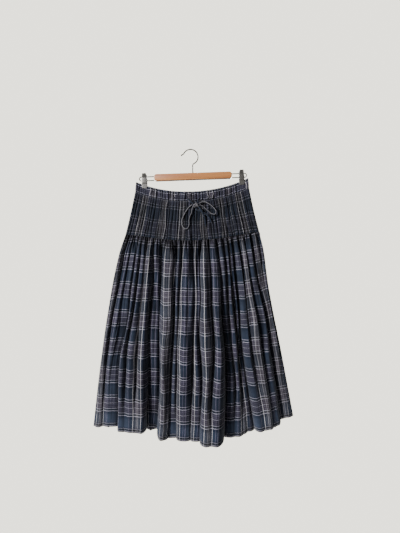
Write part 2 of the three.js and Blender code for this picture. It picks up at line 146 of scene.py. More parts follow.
VALLEY_SCALE = 1.5  # of the valleys in the tables
SOFTENED_DROP = 22  # a hollow less deep than this below its ridge is tucked less at the hem
GATHER_ROUNDNESS, FULL_GATHER = 0.5, 8  # full roundness at this depth of the small gathers
SEAM_BAND = 10  # the gathers are held flatter over this height beside the hip seam
GATHER_SEAT = 0.45  # share of a gather's depth that lies behind the fold's own line
PUCKERS, PUCKER_DEPTH, PUCKER_REACH = 74, 6.8, 105  # fine ones drawn up by the hip seam's thread
PUCKER_DRIFT = 1.6  # how far the puckers stray, in puckers
CREASE_DEPTH = 10  # of the long soft creases between the folds
CREASE_WIDTHS = 19, 8  # of the broad and the fine ones
CREASED_WIDTH = 1200  # width of cloth over which the creases are spread
HOLLOW_WANDER = 11  # how far the hollows stray from their tracks
RIPPLES = ((2.2, 0, 38), (3.0, 5, 95))  # depth, seed and size of the ridges' uneven hang
SWAY, SWAY_SIZE = 3.0, 60  # how far the ridges sway sideways
SAG, SAG_WIDTH = 3.5, 34  # how unevenly the check hangs along a panel
CHECK_DRIFT, CHECK_DRIFT_SIZE = 2.2, 60  # how unevenly the check lies across a panel

YOKE_GATHERS = 40
YOKE_GATHER_DEPTH = 5.5
YOKE_LINE_X = -31  # where a pale line of the check runs down the middle of the yoke
BAND_GATHERS = 40
BAND_GATHER_DEPTH = 4.8
STRIP_FOLD = 3.0  # depth of the soft folds that run across several gathers

# ------------------------------------------------------------------ hanger and drawstring

HANGER_TILT = math.radians(2.05)
HOOK_WIRE, HOOK_RADIUS, HOOK_TIP = 3.5, 22.5, 5
HOOK_END = ((-26.4, -14.9), (-23, -12.8))  # x and z of the crook's turned-out end
HOOK_NECK = (6.6, -43.4)  # where the crook turns down into the shaft
SHAFT_X, SHAFT_STOPS = 5.2, (-49, -58)
BAR_LENGTH, BAR_HEIGHT, BAR_DEPTH, BAR_Z = 233, 20, 16, -80
BAR_CORNER, BAR_ROUNDING = 5, 1.8  # the chamfer of its ends and the radius of all its edges
RAIL_WIRE, RAIL_UPPER_Z, RAIL_LOWER_Z, RAIL_TURN_X = 3, -76, -87.5, 155
CLIP_X, CLIP_WIDTH, CLIP_PLATE, CLIP_BARREL, CLIP_BARREL_Z = 145.5, 16, 1.4, 3.9, -81.75
JAW_FACE, JAW_Z = BAND_WALL + 1.5 * SEAM_GAP, -105
PLATE_ROUNDING = 0.3
SPRING_WIRE, SPRING_LENGTH, SPRING_TURNS = 1.4, 11.2, 7  # length between its outer turns' middles
SPRING_STEPS = 14  # to each turn
PIN_RADIUS, PIN_LENGTH = 1.5, 15

CORD = 4
KNOT_X, KNOT_Z = 16.8, -169.3
KNOT_HALF = (10.5, 6, 7.5)
KNOT_CORE = 0.72  # size of the soft core inside, as a share of the knot
KNOT_CORD = 0.95  # thickness of the tightly drawn cord in the knot, as a share of the bow's
# Turns of the cord round the knot: how far it sways, how much less deep and less high it is than
# the knot, its lean in radians, and its shift from the knot's centre.
KNOT_TURNS = (
    (0.7, 0, 0, 0.25, (-1.5, 0, 0)),
    (0.525, 0.6, 0, -0.5, (3.4, 0.3, 0.3)),
    (0.525, 0.8, 0.8, 0.7, (-5.0, 0.4, -0.6)),
)
KNOT_STEPS = 24  # to each turn

# Routes over the yoke, as stops of x, z and layer: 0 lies on the cloth, 1 on a cord below.
LOOP_LEFT = (
    (8.4, -175.4, 0.5), (4.6, -182, 0.2), (3.4, -193, 0), (-1.2, -203, 0), (-3.6, -214, 0),
    (-3.2, -228, 0), (-8.5, -238.5, 0), (-16, -238.5, 0), (-22, -231, 0), (-24.6, -219, 0),
    (-21, -206, 0), (-14.5, -192, 0), (-5, -177.5, 0.1), (5.4, -168.8, 0.5),
)
LOOP_RIGHT = (
    (26.6, -164.2, 0.7), (35, -159.5, 0.3), (46, -160.5, 0.1), (58, -167.5, 0),
    (68.5, -176.5, 0), (75.5, -187.5, 0), (72.5, -196.5, 0), (62, -195, 0), (51.5, -186.5, 0),
    (42, -178, 0), (34.5, -172.5, 0.2), (28.3, -169.6, 0.7),
)
TAIL_FRONT = (
    (24.0, -175.1, 0.9), (29.5, -180.5, 1.1), (35, -189, 1.1), (39.5, -199.5, 0.6),
    (43, -211, 0), (44.6, -221, 0), (45, -231, 0),
)
TAIL_UNDER = (
    (16.5, -178.3, 0.3), (21.5, -183.5, 0), (32, -188, -0.05), (43, -193.5, 0),
    (52, -201.5, 0), (58.5, -211, 0), (61, -221, 0),
)

# ------------------------------------------------------------------ small helpers


def lerp(a, b, t):
    return a + (b - a) * t


def clamp(x, low=0.0, high=1.0):
    return min(max(x, low), high)


def smoothstep(x, low, high):
    t = clamp((x - low) / (high - low))
    return t * t * (3 - 2 * t)


def hump(turn):
    """0 at whole turns and 1 at half turns, and round between."""
    return (1 - math.cos(turn)) / 2


def through(stations, values, t):
    """A smooth curve through values at rising stations, read at t."""
    last = len(stations) - 1
    i = 0
    while i < last - 1 and t > stations[i + 1]:
        i += 1

    def slope(k):
        low, high = max(k - 1, 0), min(k + 1, last)
        return (values[high] - values[low]) / (stations[high] - stations[low])

    span = stations[i + 1] - stations[i]
    s = clamp((t - stations[i]) / span)
    start, end = slope(i) * span, slope(i + 1) * span
    step = values[i + 1] - values[i]
    bend, twist = 3 * step - 2 * start - end, start + end - 2 * step
    return values[i] + s * (start + s * (bend + s * twist))


def linear_colour(hex_colour):
    """An sRGB hex colour as linear red, green, blue and alpha."""
    channels = [int(hex_colour[i : i + 2], 16) / 255 for i in (1, 3, 5)]
    linear = [c / 12.92 if c <= 0.04045 else ((c + 0.055) / 1.055) ** 2.4 for c in channels]
    return (*linear, 1.0)


def stray(a, b, seed):
    """Soft uneven wander between about -0.5 and 0.5."""
    return noise.noise(Vector((a, b, seed)))


def ripple(x, z, seed, size):
    """The same for a place in millimetres, longer in height than across."""
    return stray(x / size, z / (2.5 * size), seed)


def uneven(index, least):
    """Uneven sizes for gathers that a needle has drawn up, never below least."""
    return least + (1 - least) * (0.5 + 0.5 * math.sin(2.4 * index + 1))


def new_object(name, data):
    made = bpy.data.objects.new(name, data)
    bpy.context.scene.collection.objects.link(made)
    return made


def finish_mesh(bm, name, smooth=True):
    """Turns a bmesh in millimetres into an object in metres, at the origin and unturned."""
    bmesh.ops.scale(bm, vec=(MM, MM, MM), verts=bm.verts)
    for face in bm.faces:
        face.smooth = smooth
    mesh = bpy.data.meshes.new(name)
    bm.to_mesh(mesh)
    bm.free()
    return new_object(name, mesh)


def melted(*pieces):
    """Finished pieces as one bmesh in millimetres again. The pieces leave the scene."""
    bm = bmesh.new()
    for piece in pieces:
        mesh = piece.data
        bm.from_mesh(mesh)
        bpy.data.objects.remove(piece)
        bpy.data.meshes.remove(mesh)
    bmesh.ops.scale(bm, vec=(1 / MM, 1 / MM, 1 / MM), verts=bm.verts)
    return bm


def face_outwards(bm, facing):
    """Turns a sheet's faces to the garment's front where facing is -1, to its back where 1."""
    bm.normal_update()
    if sum(face.normal.y for face in bm.faces) * facing < 0:
        bmesh.ops.reverse_faces(bm, faces=bm.faces)


def edges_within(verts):
    """The edges that join these vertices to each other."""
    inside = set(verts)
    edges = (e for v in verts for e in v.link_edges if all(w in inside for w in e.verts))
    return list(dict.fromkeys(edges))


def tip_with_hanger(bm):
    """Turns the upright hanger's piece about the hook, as the hanger hangs."""
    bmesh.ops.rotate(bm, verts=bm.verts, matrix=Matrix.Rotation(-HANGER_TILT, 3, "Y"))


def dress(piece, material, node):
    """Gives a piece its material and its body, and hides the solid that it stands for."""
    piece.data.materials.append(material)
    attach(piece, "root")
    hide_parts(node)
    return piece


def thicken(piece, thickness):
    """One layer of cloth: the mesh is its outer face and the wall goes inwards."""
    wall = piece.modifiers.new("cloth thickness", "SOLIDIFY")
    wall.thickness = thickness
    wall.offset = -1
    wall.use_even_offset = False


# ------------------------------------------------------------------ sections of the garment


def tipped_x(x, z):
    """Where a place on the upright hanger comes to lie across, once the hanger is tipped."""
    return x * math.cos(HANGER_TILT) - z * math.sin(HANGER_TILT)


CLIP_CENTRES = [tipped_x(SHAFT_X + side * CLIP_X, JAW_Z) for side in (-1, 1)]
CLIP_MIDDLE = sum(CLIP_CENTRES) / 2
CLIP_REACH = (CLIP_CENTRES[1] - CLIP_CENTRES[0]) / 2 - CLIP_WIDTH / 2 - 4  # of the open mouth


def mouth(x):
    """The waist's open mouth: 0 at the clips and beyond, 1 in the middle."""
    return smoothstep(1 - abs(x - CLIP_MIDDLE) / CLIP_REACH, 0, 0.9)


def free_of_clips(x):
    """0 in a clip's jaws, 1 well away from both."""
    near = min(abs(x - centre) for centre in CLIP_CENTRES)
    return smoothstep(near, CLIP_WIDTH / 2 + 1.5, CLIP_WIDTH / 2 + 14)


def blend_levels(levels, share):
    """A level between several, at a share of the way from the first to the last."""
    stations = [i / (len(levels) - 1) for i in range(len(levels))]
    return Level(*(through(stations, column, share) for column in zip(*levels)))


def section_point(level, across, middle_depth):
    """x, z and depth of a level's section at a share across from its left seam."""
    across = clamp(across)
    bulge = 1 - (2 * across - 1) ** 2
    x = lerp(level.left_x, level.right_x, across)
    seam_z = lerp(level.left_z, level.right_z, across)
    dip = level.mid_z - (level.left_z + level.right_z) / 2
    depth = middle_depth * lerp(mouth(x), bulge**0.75, clamp(level.round))
    return x, seam_z + dip * bulge**level.sag, depth


# ------------------------------------------------------------------ cloth


def cloth_grid(name, columns, rows, place, facing):
    """A sheet of cloth as a grid. place(i, j) gives x, out, z and the cloth's own u and v, all in
    millimetres. facing is -1 for the garment's front and 1 for its back."""
    bm = bmesh.new()
    bmesh.ops.create_grid(bm, x_segments=columns, y_segments=rows, size=0.5)
    cloth = bm.loops.layers.uv.new(CLOTH_UV)
    where = {}
    for vert in bm.verts:
        i = round((vert.co.x + 0.5) * columns)
        j = round((0.5 - vert.co.y) * rows)
        x, out, z, u, v = place(i, j)
        vert.co = (x, facing * out, z)
        where[vert] = (u * MM, v * MM)
    for face in bm.faces:
        for loop in face.loops:
            loop[cloth].uv = where[loop.vert]
    face_outwards(bm, facing)
    return finish_mesh(bm, name)


def running_length(points):
    """Distance along a line of points from its start, for each point."""
    lengths = [0.0]
    for before, after in zip(points, points[1:]):
        lengths.append(lengths[-1] + math.dist(before, after))
    return lengths


# One hollow between two folds: its x at the heights of TRACK_DOWN, its share across at the hip,
# and its valley, tuck, depth and height at the hem, as in the tables.
Hollow = namedtuple("Hollow", "track hip valley tuck depth hem_z")
# A fold with the hollow at each side. lean and ridge_share say how far across the ridge lies,
# high up and at the hem.
HangingFold = namedtuple("HangingFold", "left right gathers ridge lean ridge_share hem_z check")


def hip_share(x):
    """How far across the hip seam a place lies, from its left end."""
    return (x - HIP_SEAM.left_x) / (HIP_SEAM.right_x - HIP_SEAM.left_x)


class HangingPanel:
    """A gathered panel from hip seam to hem, as folds from hollow to hollow."""

    ROWS = 76
    COLUMNS = 600

    def __init__(self, side, facing, folds, seed):
        self.facing = facing
        self.folds = folds
        self.seed = seed
        widths = [
            sum(b - a for a, b in zip(fold.left.track[::2], fold.right.track[::2])) / 3
            for fold in folds
        ]
        shares = [round(self.COLUMNS * width / sum(widths)) for width in widths]
        self.starts = [sum(shares[:k]) for k in range(len(folds) + 1)]
        self.columns = self.starts[-1]
        self.hip_depth = getattr(HIP_SEAM, side)
        hem = [self.form(i, 1.0) for i in range(self.columns + 1)]
        self.hem_z = [z for _, _, z in hem]
        self.cloth_u = self.along_check(hem)
        self.width = sum(self.length_across(down) for down in TRACK_DOWN) / len(TRACK_DOWN)

    def length_across(self, down):
        return running_length([self.form(i, down) for i in range(self.columns + 1)])[-1]

    def along_check(self, hem):
        """Places across the check for each column, from the arc along the hem. Where a fold's
        check starts anew, the cloth between lies hidden in the hollow at its left."""
        arc = running_length(hem)
        shift = 0.0
        places = []
        for fold, start, end in zip(self.folds, self.starts, self.starts[1:]):
            if fold.check is not None:
                ridge = (start + end) // 2
                shift = hem[ridge][0] - fold.check - arc[ridge]
            places += [arc[i] + shift for i in range(start, end)]
        return places + [arc[-1] + shift]

    def hollow_x(self, hollow, down):
        """x of a hollow on its way down. It strays from its track, but not at the side seams, at
        the hip or at the hem."""
        hip_x = hollow.track[0]
        inside = smoothstep(hip_x, HIP_SEAM.left_x, HIP_SEAM.left_x + 24)
        inside *= 1 - smoothstep(hip_x, HIP_SEAM.right_x - 22, HIP_SEAM.right_x - 1)
        wander = HOLLOW_WANDER * stray(hip_x * 0.31, down * 3.2, self.seed + 21)
        wander *= math.sin(math.pi * min(down, 1))
        return through(TRACK_DOWN, hollow.track, down) + wander * inside

    def fold_x(self, fold, near, phase, down, gather):
        """x at a phase of a fold. The cloth bunches up at its hollows and wraps into them."""
        tuck = near.tuck * smoothstep(down, -0.03, 0.1)
        shallow = min(1, 0.1 + (fold.ridge - near.depth) / SOFTENED_DROP)
        tuck *= lerp(1, shallow, smoothstep(down, 0.5, 1))
        turns = 2 * math.pi * phase
        rounded = phase - tuck / (2 * math.pi) * math.sin(turns)
        roundness = GATHER_ROUNDNESS * (gather / FULL_GATHER)
        rounded -= roundness / (2 * math.pi * fold.gathers) * math.sin(fold.gathers * turns)
        ridge_share = lerp(fold.lean, fold.ridge_share, smoothstep(down, 0.6, 1))
        if rounded < 0.5:
            share = rounded * 2 * ridge_share
        else:
            share = ridge_share + (rounded * 2 - 1) * (1 - ridge_share)
        return lerp(self.hollow_x(fold.left, down), self.hollow_x(fold.right, down), share)

    def valley(self, hollow, down):
        """How much deeper a hollow is between the hip and the hem."""
        depth = hollow.valley
        depth *= VALLEY_SCALE * smoothstep(down, -0.01, 0.06) * (1 - smoothstep(down, 0.55, 0.95))
        return depth * (1 + 0.7 * stray(hollow.track[0] * 0.27, down * 3.5, self.seed + 25))

    def small_gathers(self, k, phase, down, gather):
        """The gathers that run from the hip seam into a fold, each as far as it reaches."""
        number = self.folds[k].gathers
        which = k * 5 + min(int(phase * number), number - 1)
        held = smoothstep(down * PANEL_LENGTH, -2, SEAM_BAND)
        reach = 0.35 + 0.65 * uneven(which * 3 + 1, 0.1)
        lasting = 1 - (1 - reach) * smoothstep(down, 0.12, 0.75)
        lobe = hump(number * (2 * math.pi * phase))
        return lobe * gather * uneven(which, 0.55) * lerp(0.45, 1, held) * lasting

    def puckers(self, hip_across, down):
        """The fine puckers that the hip seam's thread draws up, each as long as it reaches."""
        stitches = PUCKERS * hip_across
        stitches += PUCKER_DRIFT * stray(hip_across * 24, 0.5, self.seed)
        reach = PUCKER_REACH * uneven(math.floor(stitches) * 1.9, 0.35)
        height = hump(2 * math.pi * stitches) * PUCKER_DEPTH
        return height * (1 - smoothstep(down * PANEL_LENGTH, 0, reach))

    def creases(self, i, phase, down):
        """Long soft creases down the folds, which fade towards the hem."""
        along = i * CREASED_WIDTH / self.columns
        broad, fine = CREASE_WIDTHS
        crease = stray(along / broad, down * 2.6, self.seed + 13)
        crease += 0.6 * stray(along / fine, down * 4.5, self.seed + 17)
        away = math.sin(math.pi * phase) ** 0.5 * smoothstep(down, 0.0, 0.12)
        return CREASE_DEPTH * crease * away * lerp(1, 0.15, smoothstep(down, 0.5, 0.9))

    def form(self, i, down):
        """x, out and z of column i at a share down from the hip."""
        k = min(bisect.bisect_right(self.starts, i) - 1, len(self.folds) - 1)
        fold = self.folds[k]
        phase = (i - self.starts[k]) / (self.starts[k + 1] - self.starts[k])
        near = fold.left if phase < 0.5 else fold.right
        gather = through(SECTION_COLUMNS.down, SECTION_COLUMNS.gather, down)
        flare = through(SECTION_COLUMNS.down, SECTION_COLUMNS.flare, down)
        ridge = hump(2 * math.pi * phase)
        hip_across = lerp(fold.left.hip, fold.right.hip, phase)
        _, hip_z, hip_depth = section_point(HIP_SEAM, hip_across, self.hip_depth)

        x = self.fold_x(fold, near, phase, down, gather)
        z = lerp(hip_z, lerp(near.hem_z, fold.hem_z, ridge), down)
        out = lerp(hip_depth, lerp(near.depth, fold.ridge, ridge), flare)
        out -= (1 - ridge) * self.valley(near, down) + GATHER_SEAT * gather
        out += self.small_gathers(k, phase, down, gather)
        out += self.puckers(hip_across, down)
        out += self.creases(i, phase, down)

        loose = smoothstep(down, 0.02, 0.4) * smoothstep(hip_share(x), -0.9, -0.2)
        for depth, seed, size in RIPPLES:
            out += depth * ripple(x, z, self.seed + seed, size) * loose * ridge
        sway = SWAY * ripple(x, -down * PANEL_LENGTH, self.seed + 9, SWAY_SIZE) * loose
        x += sway * math.sin(math.pi * phase) ** 2
        return x, SEAM_GAP / 2 + CLOTH_WALL + max(out, 0.0), z

    def down(self, j):
        """The share down of row j. The rows are closer together at the hip."""
        t = j / self.ROWS
        return lerp(t**1.5, t, 0.35)

    def place(self, i, j):
        x, out, z = self.form(i, self.down(j))
        if j == 0:
            z -= SEAM_GAP / 2
        above_hem = (z - self.hem_z[i]) * 1.006  # the cloth is a little longer than its fall
        u = self.cloth_u[i]
        sag = SAG * smoothstep(above_hem, 20, 200)
        v = above_hem + sag * stray(u / SAG_WIDTH, above_hem / 260, self.seed)
        u += CHECK_DRIFT * stray(u / CHECK_DRIFT_SIZE, above_hem / 90, self.seed + 4)
        return x, out, z, u, v

    def build(self, name):
        return cloth_grid(name, self.columns, self.ROWS, self.place, self.facing)


def halfway(values):
    """The means of neighbouring values."""
    return [(a + b) / 2 for a, b in zip(values, values[1:])]


def hollows_of(folds, tracks, hips, valleys, tucks):
    """The hollows beside the folds of a table, from the left side seam to the right one."""
    depths = [0] + [f.hollow for f in folds]
    heights = [HEM_Z[0], *halfway([f.hem_z for f in folds]), HEM_Z[1]]
    return [Hollow(*hollow) for hollow in zip(tracks, hips, valleys, tucks, depths, heights)]


def front_folds():
    """The front's folds, each with both its hollows."""
    tracks = [LEFT_SEAM] + [(f.hip, f.high, f.middle, f.low, f.hem) for f in FRONT_FOLDS]
    hips = [hip_share(track[0]) for track in tracks]
    valleys = [0] + [f.valley for f in FRONT_FOLDS]
    tucks = [0.5] + [f.tuck for f in FRONT_FOLDS]
    hollows = hollows_of(FRONT_FOLDS, tracks, hips, valleys, tucks)
    folds = []
    for f, left, right in zip(FRONT_FOLDS, hollows, hollows[1:]):
        start, end = left.track[-1], right.track[-1]
        lean = lerp(0.5, 0.7, smoothstep(left.track[2], 60, 130))
        ridge_share = clamp((f.ridge_x - start) / (end - start), 0.3, 0.7)
        folds.append(
            HangingFold(left, right, f.gathers, f.ridge, lean, ridge_share, f.hem_z, f.check)
        )
    return folds


def back_folds():
    """The back's folds, even at the hip and straight from there to the hem."""
    count = len(BACK_FOLDS)
    hem = SECTIONS[-1]
    middles = halfway([f.ridge_x for f in BACK_FOLDS])
    at_hem = [0.0] + [(x - hem.left_x) / (hem.right_x - hem.left_x) for x in middles] + [1.0]
    at_hip = [clamp((k + 0.22 * math.sin(2.1 * k)) / count) for k in range(count)] + [1]
    tracks = []
    for hip, low in zip(at_hip, at_hem):
        track = []
        for down in TRACK_DOWN:
            left = through(SECTION_COLUMNS.down, SECTION_COLUMNS.left_x, down)
            right = through(SECTION_COLUMNS.down, SECTION_COLUMNS.right_x, down)
            track.append(lerp(left, right, lerp(hip, low, down)))
        tracks.append(track)
    each = count + 1
    hollows = hollows_of(BACK_FOLDS, tracks, at_hip, [BACK_VALLEY] * each, [BACK_TUCK] * each)
    return [
        HangingFold(left, right, BACK_GATHERS_PER_FOLD, f.ridge, 0.5, 0.5, f.hem_z, None)
        for f, left, right in zip(BACK_FOLDS, hollows, hollows[1:])
    ]


class GatheredStrip:
    """Waistband or yoke: a strip between levels, drawn up into uneven upright gathers. pinch
    says how far the clips press it flat, at its top, middle and bottom."""

    def __init__(self, levels, side, facing, gathers, depth, wall, pinch, per_gather, rows, seed):
        self.levels = levels
        self.side = side
        self.facing = facing
        self.gathers = gathers
        self.depth = depth
        self.wall = wall
        self.pinch = pinch
        self.per_gather = per_gather
        self.rows = rows
        self.seed = seed
        self.columns = gathers * per_gather
        widths = [0.55 + 0.9 * uneven(1.7 * k + seed, 0.0) for k in range(gathers)]
        self.edges = [sum(widths[:k]) / sum(widths) for k in range(gathers + 1)]
        middle = [self.form(i, 0.5) for i in range(self.columns + 1)]
        self.cloth_u = running_length(middle)
        self.width = self.cloth_u[-1]

    def form(self, i, down):
        """x, out and z of column i at a share down from the top edge."""
        k = min(i // self.per_gather, self.gathers - 1)
        phase = i / self.per_gather - k
        turns = 2 * math.pi * phase
        level = blend_levels(self.levels, down)
        left, right = self.edges[k], self.edges[k + 1]
        wander = 0.35 * stray(k * 0.9, down * 2.2, self.seed)
        sway = wander * (right - left) * math.sin(math.pi * phase) ** 2
        rounded = phase - 0.6 / (2 * math.pi) * math.sin(turns)
        across = lerp(left, right, rounded) + sway
        x, z, depth = section_point(level, across, getattr(level, self.side))
        strength = uneven(k * 1.3 + self.seed, 0.45)
        strength *= 1 + 0.5 * stray(k * 1.7, down * 3, self.seed + 3)
        free = lerp(1, free_of_clips(x), through((0, 0.5, 1), self.pinch, down))
        out = depth + hump(turns) * strength * self.depth * free * self.swell(down)
        soft = stray(x / 21, down * 0.7, self.seed + 8)
        out += STRIP_FOLD * soft * free * self.swell(down) * smoothstep(depth, 1, 8)
        return x, SEAM_GAP / 2 + self.wall + max(out, 0.0), z

    def place(self, i, j):
        down = j / self.rows
        x, out, z = self.form(i, down)
        if j == 0:
            z -= SEAM_GAP / 2
        elif j == self.rows:
            z += SEAM_GAP / 2
        v = (1 - down) * (self.levels[0].mid_z - self.levels[-1].mid_z)
        v += 3 * stray(i / self.per_gather * 0.7, down, self.seed + 6)
        return x, out, z, self.cloth_u[i], v

    def across_at(self, x):
        """How far across the cloth the strip reaches x, at half its height."""
        column = min(range(self.columns + 1), key=lambda i: abs(self.form(i, 0.5)[0] - x))
        return self.cloth_u[column]

    def build(self, name):
        return cloth_grid(name, self.columns, self.rows, self.place, self.facing)


class YokeStrip(GatheredStrip):
    def swell(self, down):
        """The yoke's gathers are held flatter in both seams."""
        return lerp(0.55, 1, smoothstep(down, 0, 0.15) * (1 - 0.8 * smoothstep(down, 0.9, 1)))


class BandStrip(GatheredStrip):
    def swell(self, down):
        """The casing is full in the middle and flat in its seam and its folded top edge."""
        return lerp(0.5, 1.15, math.sin(math.pi * clamp(down)) ** 0.6)


# ------------------------------------------------------------------ cords and wires


def smooth_route(stops, steps):
    """Points of a smooth line through stops, steps to each stretch."""
    points = [Vector(stop) for stop in stops]
    stations = running_length(points)
    count = (len(points) - 1) * steps
    columns = list(zip(*points))
    route = []
    for i in range(count + 1):
        stretch, part = divmod(i, steps)
        if stretch == len(points) - 1:
            stretch, part = stretch - 1, steps
        t = lerp(stations[stretch], stations[stretch + 1], part / steps)
        route.append(Vector([through(stations, column, t) for column in columns]))
    return route


def tube_along(name, route, radius, sides, hanger=False, close_ends=True, roll=0.0):
    """A round tube along a route in millimetres, with u round it and v along it in its UV map.
    u starts at the side that faces -Y, rolled by a share of a turn."""
    tangents = [
        (after - before).normalized()
        for before, after in zip(route[:1] + route[:-1], route[1:] + route[-1:])
    ]
    outwards = Vector((0, -1, 0)) if abs(tangents[0].y) < 0.9 else Vector((1, 0, 0))
    side = (outwards - outwards.dot(tangents[0]) * tangents[0]).normalized()
    bm = bmesh.new()
    ring = bmesh.ops.create_circle(bm, cap_ends=False, radius=radius, segments=sides)["verts"]
    turn = Matrix((side, tangents[0].cross(side), tangents[0])).transposed()
    bmesh.ops.transform(bm, matrix=Matrix.Translation(route[0]) @ turn.to_4x4(), verts=ring)
    rings = [list(ring)]
    edges = list(bm.edges)
    for i in range(1, len(route)):
        made = bmesh.ops.extrude_edge_only(bm, edges=edges)["geom"]
        ring = [g for g in made if isinstance(g, bmesh.types.BMVert)]
        edges = [
            g for g in made
            if isinstance(g, bmesh.types.BMEdge) and all(v in ring for v in g.verts)
        ]
        bend = tangents[i - 1].rotation_difference(tangents[i]).to_matrix()
        bmesh.ops.translate(bm, vec=-route[i - 1], verts=ring)
        bmesh.ops.rotate(bm, matrix=bend, verts=ring)
        bmesh.ops.translate(bm, vec=route[i], verts=ring)
        rings.append(ring)

    cloth = bm.loops.layers.uv.new(CLOTH_UV)
    lengths = running_length(route)
    row_of = {vert: i for i, verts in enumerate(rings) for vert in verts}
    half_side = math.pi / sides
    for face in bm.faces:
        rows = {row_of[vert] for vert in face.verts}
        start = min(rows)
        up = tangents[start].cross(side)
        middle = face.calc_center_median() - (route[start] + route[max(rows)]) / 2
        angle = math.atan2(middle.dot(up), middle.dot(side))
        for loop in face.loops:
            row = row_of[loop.vert]
            offset = loop.vert.co - route[row]
            turned = math.atan2(offset.dot(up), offset.dot(side))
            lean = (turned - angle + math.pi) % (2 * math.pi) - math.pi
            around = angle + clamp(lean, -half_side, half_side) + roll * 2 * math.pi
            loop[cloth].uv = (around * radius * MM, lengths[row] * MM)

    if close_ends:
        for ring in (rings[0], rings[-1]):
            # A cap that is slightly domed.
            cap = bmesh.ops.contextual_create(bm, geom=edges_within(ring))["faces"]
            bmesh.ops.inset_region(bm, faces=cap, thickness=radius * 0.35, depth=radius * 0.3)
    bmesh.ops.recalc_face_normals(bm, faces=bm.faces)
    if hanger:
        tip_with_hanger(bm)
    return finish_mesh(bm, name)


def yoke_crest(z):
    """How far the yoke's middle stands out at a height, over its gathers' crests."""
    share = clamp((WAIST_SEAM.mid_z - z) / (WAIST_SEAM.mid_z - HIP_SEAM.mid_z))
    bulge = lerp(WAIST_SEAM.front, HIP_SEAM.front, share)
    return SEAM_GAP / 2 + CLOTH_WALL + YOKE_GATHER_DEPTH + bulge


def over_yoke(stops):
    """Places on the yoke for a route's stops of x, z and layer."""
    return [
        Vector((x, -(yoke_crest(z) + SEAM_GAP + CORD / 2 + layer * (CORD + SEAM_GAP)), z))
        for x, z, layer in stops
    ]


KNOT_Y = -(yoke_crest(KNOT_Z) + KNOT_HALF[1] - SEAM_GAP)
# The two leads come out of the casing over the knot and run down into it: stops of x, y and z.
LEAD_LEFT = ((-6, -18.9, -149.5), (-5.4, -23.6, -151.5), (1, -26.5, -158), (9, KNOT_Y, -166))
LEAD_RIGHT = ((25, -18.9, -149), (24.6, -23.6, -151), (22.5, -26.5, -157), (20, KNOT_Y, -165))

# ------------------------------------------------------------------ materials

SETT = 84  # one repeat of the tartan, each way
LINE = 1.35
PAIR = 7.3  # between the starts of the two lines of a weft pair
PLUM_BAND = 40  # from one weft pair to the next
HEM_TO_BAND = 47.4  # from the hem to the plum band's lower pair
YOKE_SLIP, BAND_SLIP = 75.9, 20  # how far up the check each starts
BAND_SLIP_ACROSS = {"front": 30, "back": 10}
STITCH, STITCH_SHARE = 2.8, 0.72  # one stitch with its gap, and the stitch's share of that
HEM_SEAM, YOKE_SEAMS, BAND_SEAMS = (11.5,), (3, 114.7), (3, 26)  # stitch lines over lower edges
CRINKLED_FROM = 430  # height over the hem where the gathers' thread starts to crinkle the cloth
STITCH_HALF = 0.45  # half a sewing thread's thickness
THREAD = 0.9  # real thread is about 0.4 mm; drawn coarser so that the weave shows close up
# How many of each there are to the metre. The streaks and the crinkles are much longer than wide.
SLUBS, WORN_PATCHES = 900.0, 26.0
STREAKS, CRINKLES = (1400.0, 30.0, 1.0), (230.0, 9.0, 1.0)
SLUB_SWAY = 0.0011  # how far the slubs move the check's lines, in metres
CRINKLE_DEPTH = 0.0055  # of the drawn-up cloth under the hip seam, in metres


def set_inputs(node, inputs):
    """Gives each named socket of a node its value, or links it to an output."""
    for socket, value in inputs.items():
        if isinstance(value, bpy.types.NodeSocket):
            node.id_data.links.new(value, node.inputs[socket])
        else:
            node.inputs[socket].default_value = value


def add_node(tree, kind, inputs=None, output=0, **options):
    """Adds a node with its options and inputs, and gives one of its outputs."""
    node = tree.nodes.new(kind)
    for name, value in options.items():
        setattr(node, name, value)
    set_inputs(node, inputs or {})
    return node.outputs[output]


def colour_stops(colour, stops, period=1.0, interpolation="LINEAR"):
    """Sets the stops of the colour ramp that gives a colour, as pairs of place and hex colour."""
    ramp = colour.node.color_ramp
    ramp.interpolation = interpolation
    while len(ramp.elements) > 1:
        ramp.elements.remove(ramp.elements[-1])
    for number, (place, hex_colour) in enumerate(stops):
        element = ramp.elements[0] if number == 0 else ramp.elements.new(place / period)
        element.position = place / period
        element.color = linear_colour(hex_colour)


def new_material(name):
    material = bpy.data.materials.new(name)
    material.use_nodes = True
    tree = material.node_tree
    return material, tree, tree.nodes["Principled BSDF"]


INK = "#0b0f19"
NAVY = "#121926"
BLUE_GREY = "#1f2531"
CHARCOAL = "#181b21"
TAUPE = "#383639"
PLUM = "#302a34"
MAUVE = "#595464"
CREAM = "#b1adaf"
LILAC = "#a5a1af"
ASH = "#767376"
SEWING_THREAD = "#2a2f3d"
BEECH_DARK, BEECH_PALE = "#8e5329", "#b67c48"
# Painted reflection: the metal's colours are painted dark for the dark room it mirrors, the wire's
# nearly black.
WIRE_DULL, WIRE_BRIGHT, WIRE_ROUGHNESS = "#131212", "#262524", 0.22
STRIP_DULL, STRIP_BRIGHT, STRIP_ROUGHNESS = "#4b4a49", "#7a7876", 0.34
PAPER_DARK, PAPER_PALE = "#f3f1ea", "#f8f6ef"

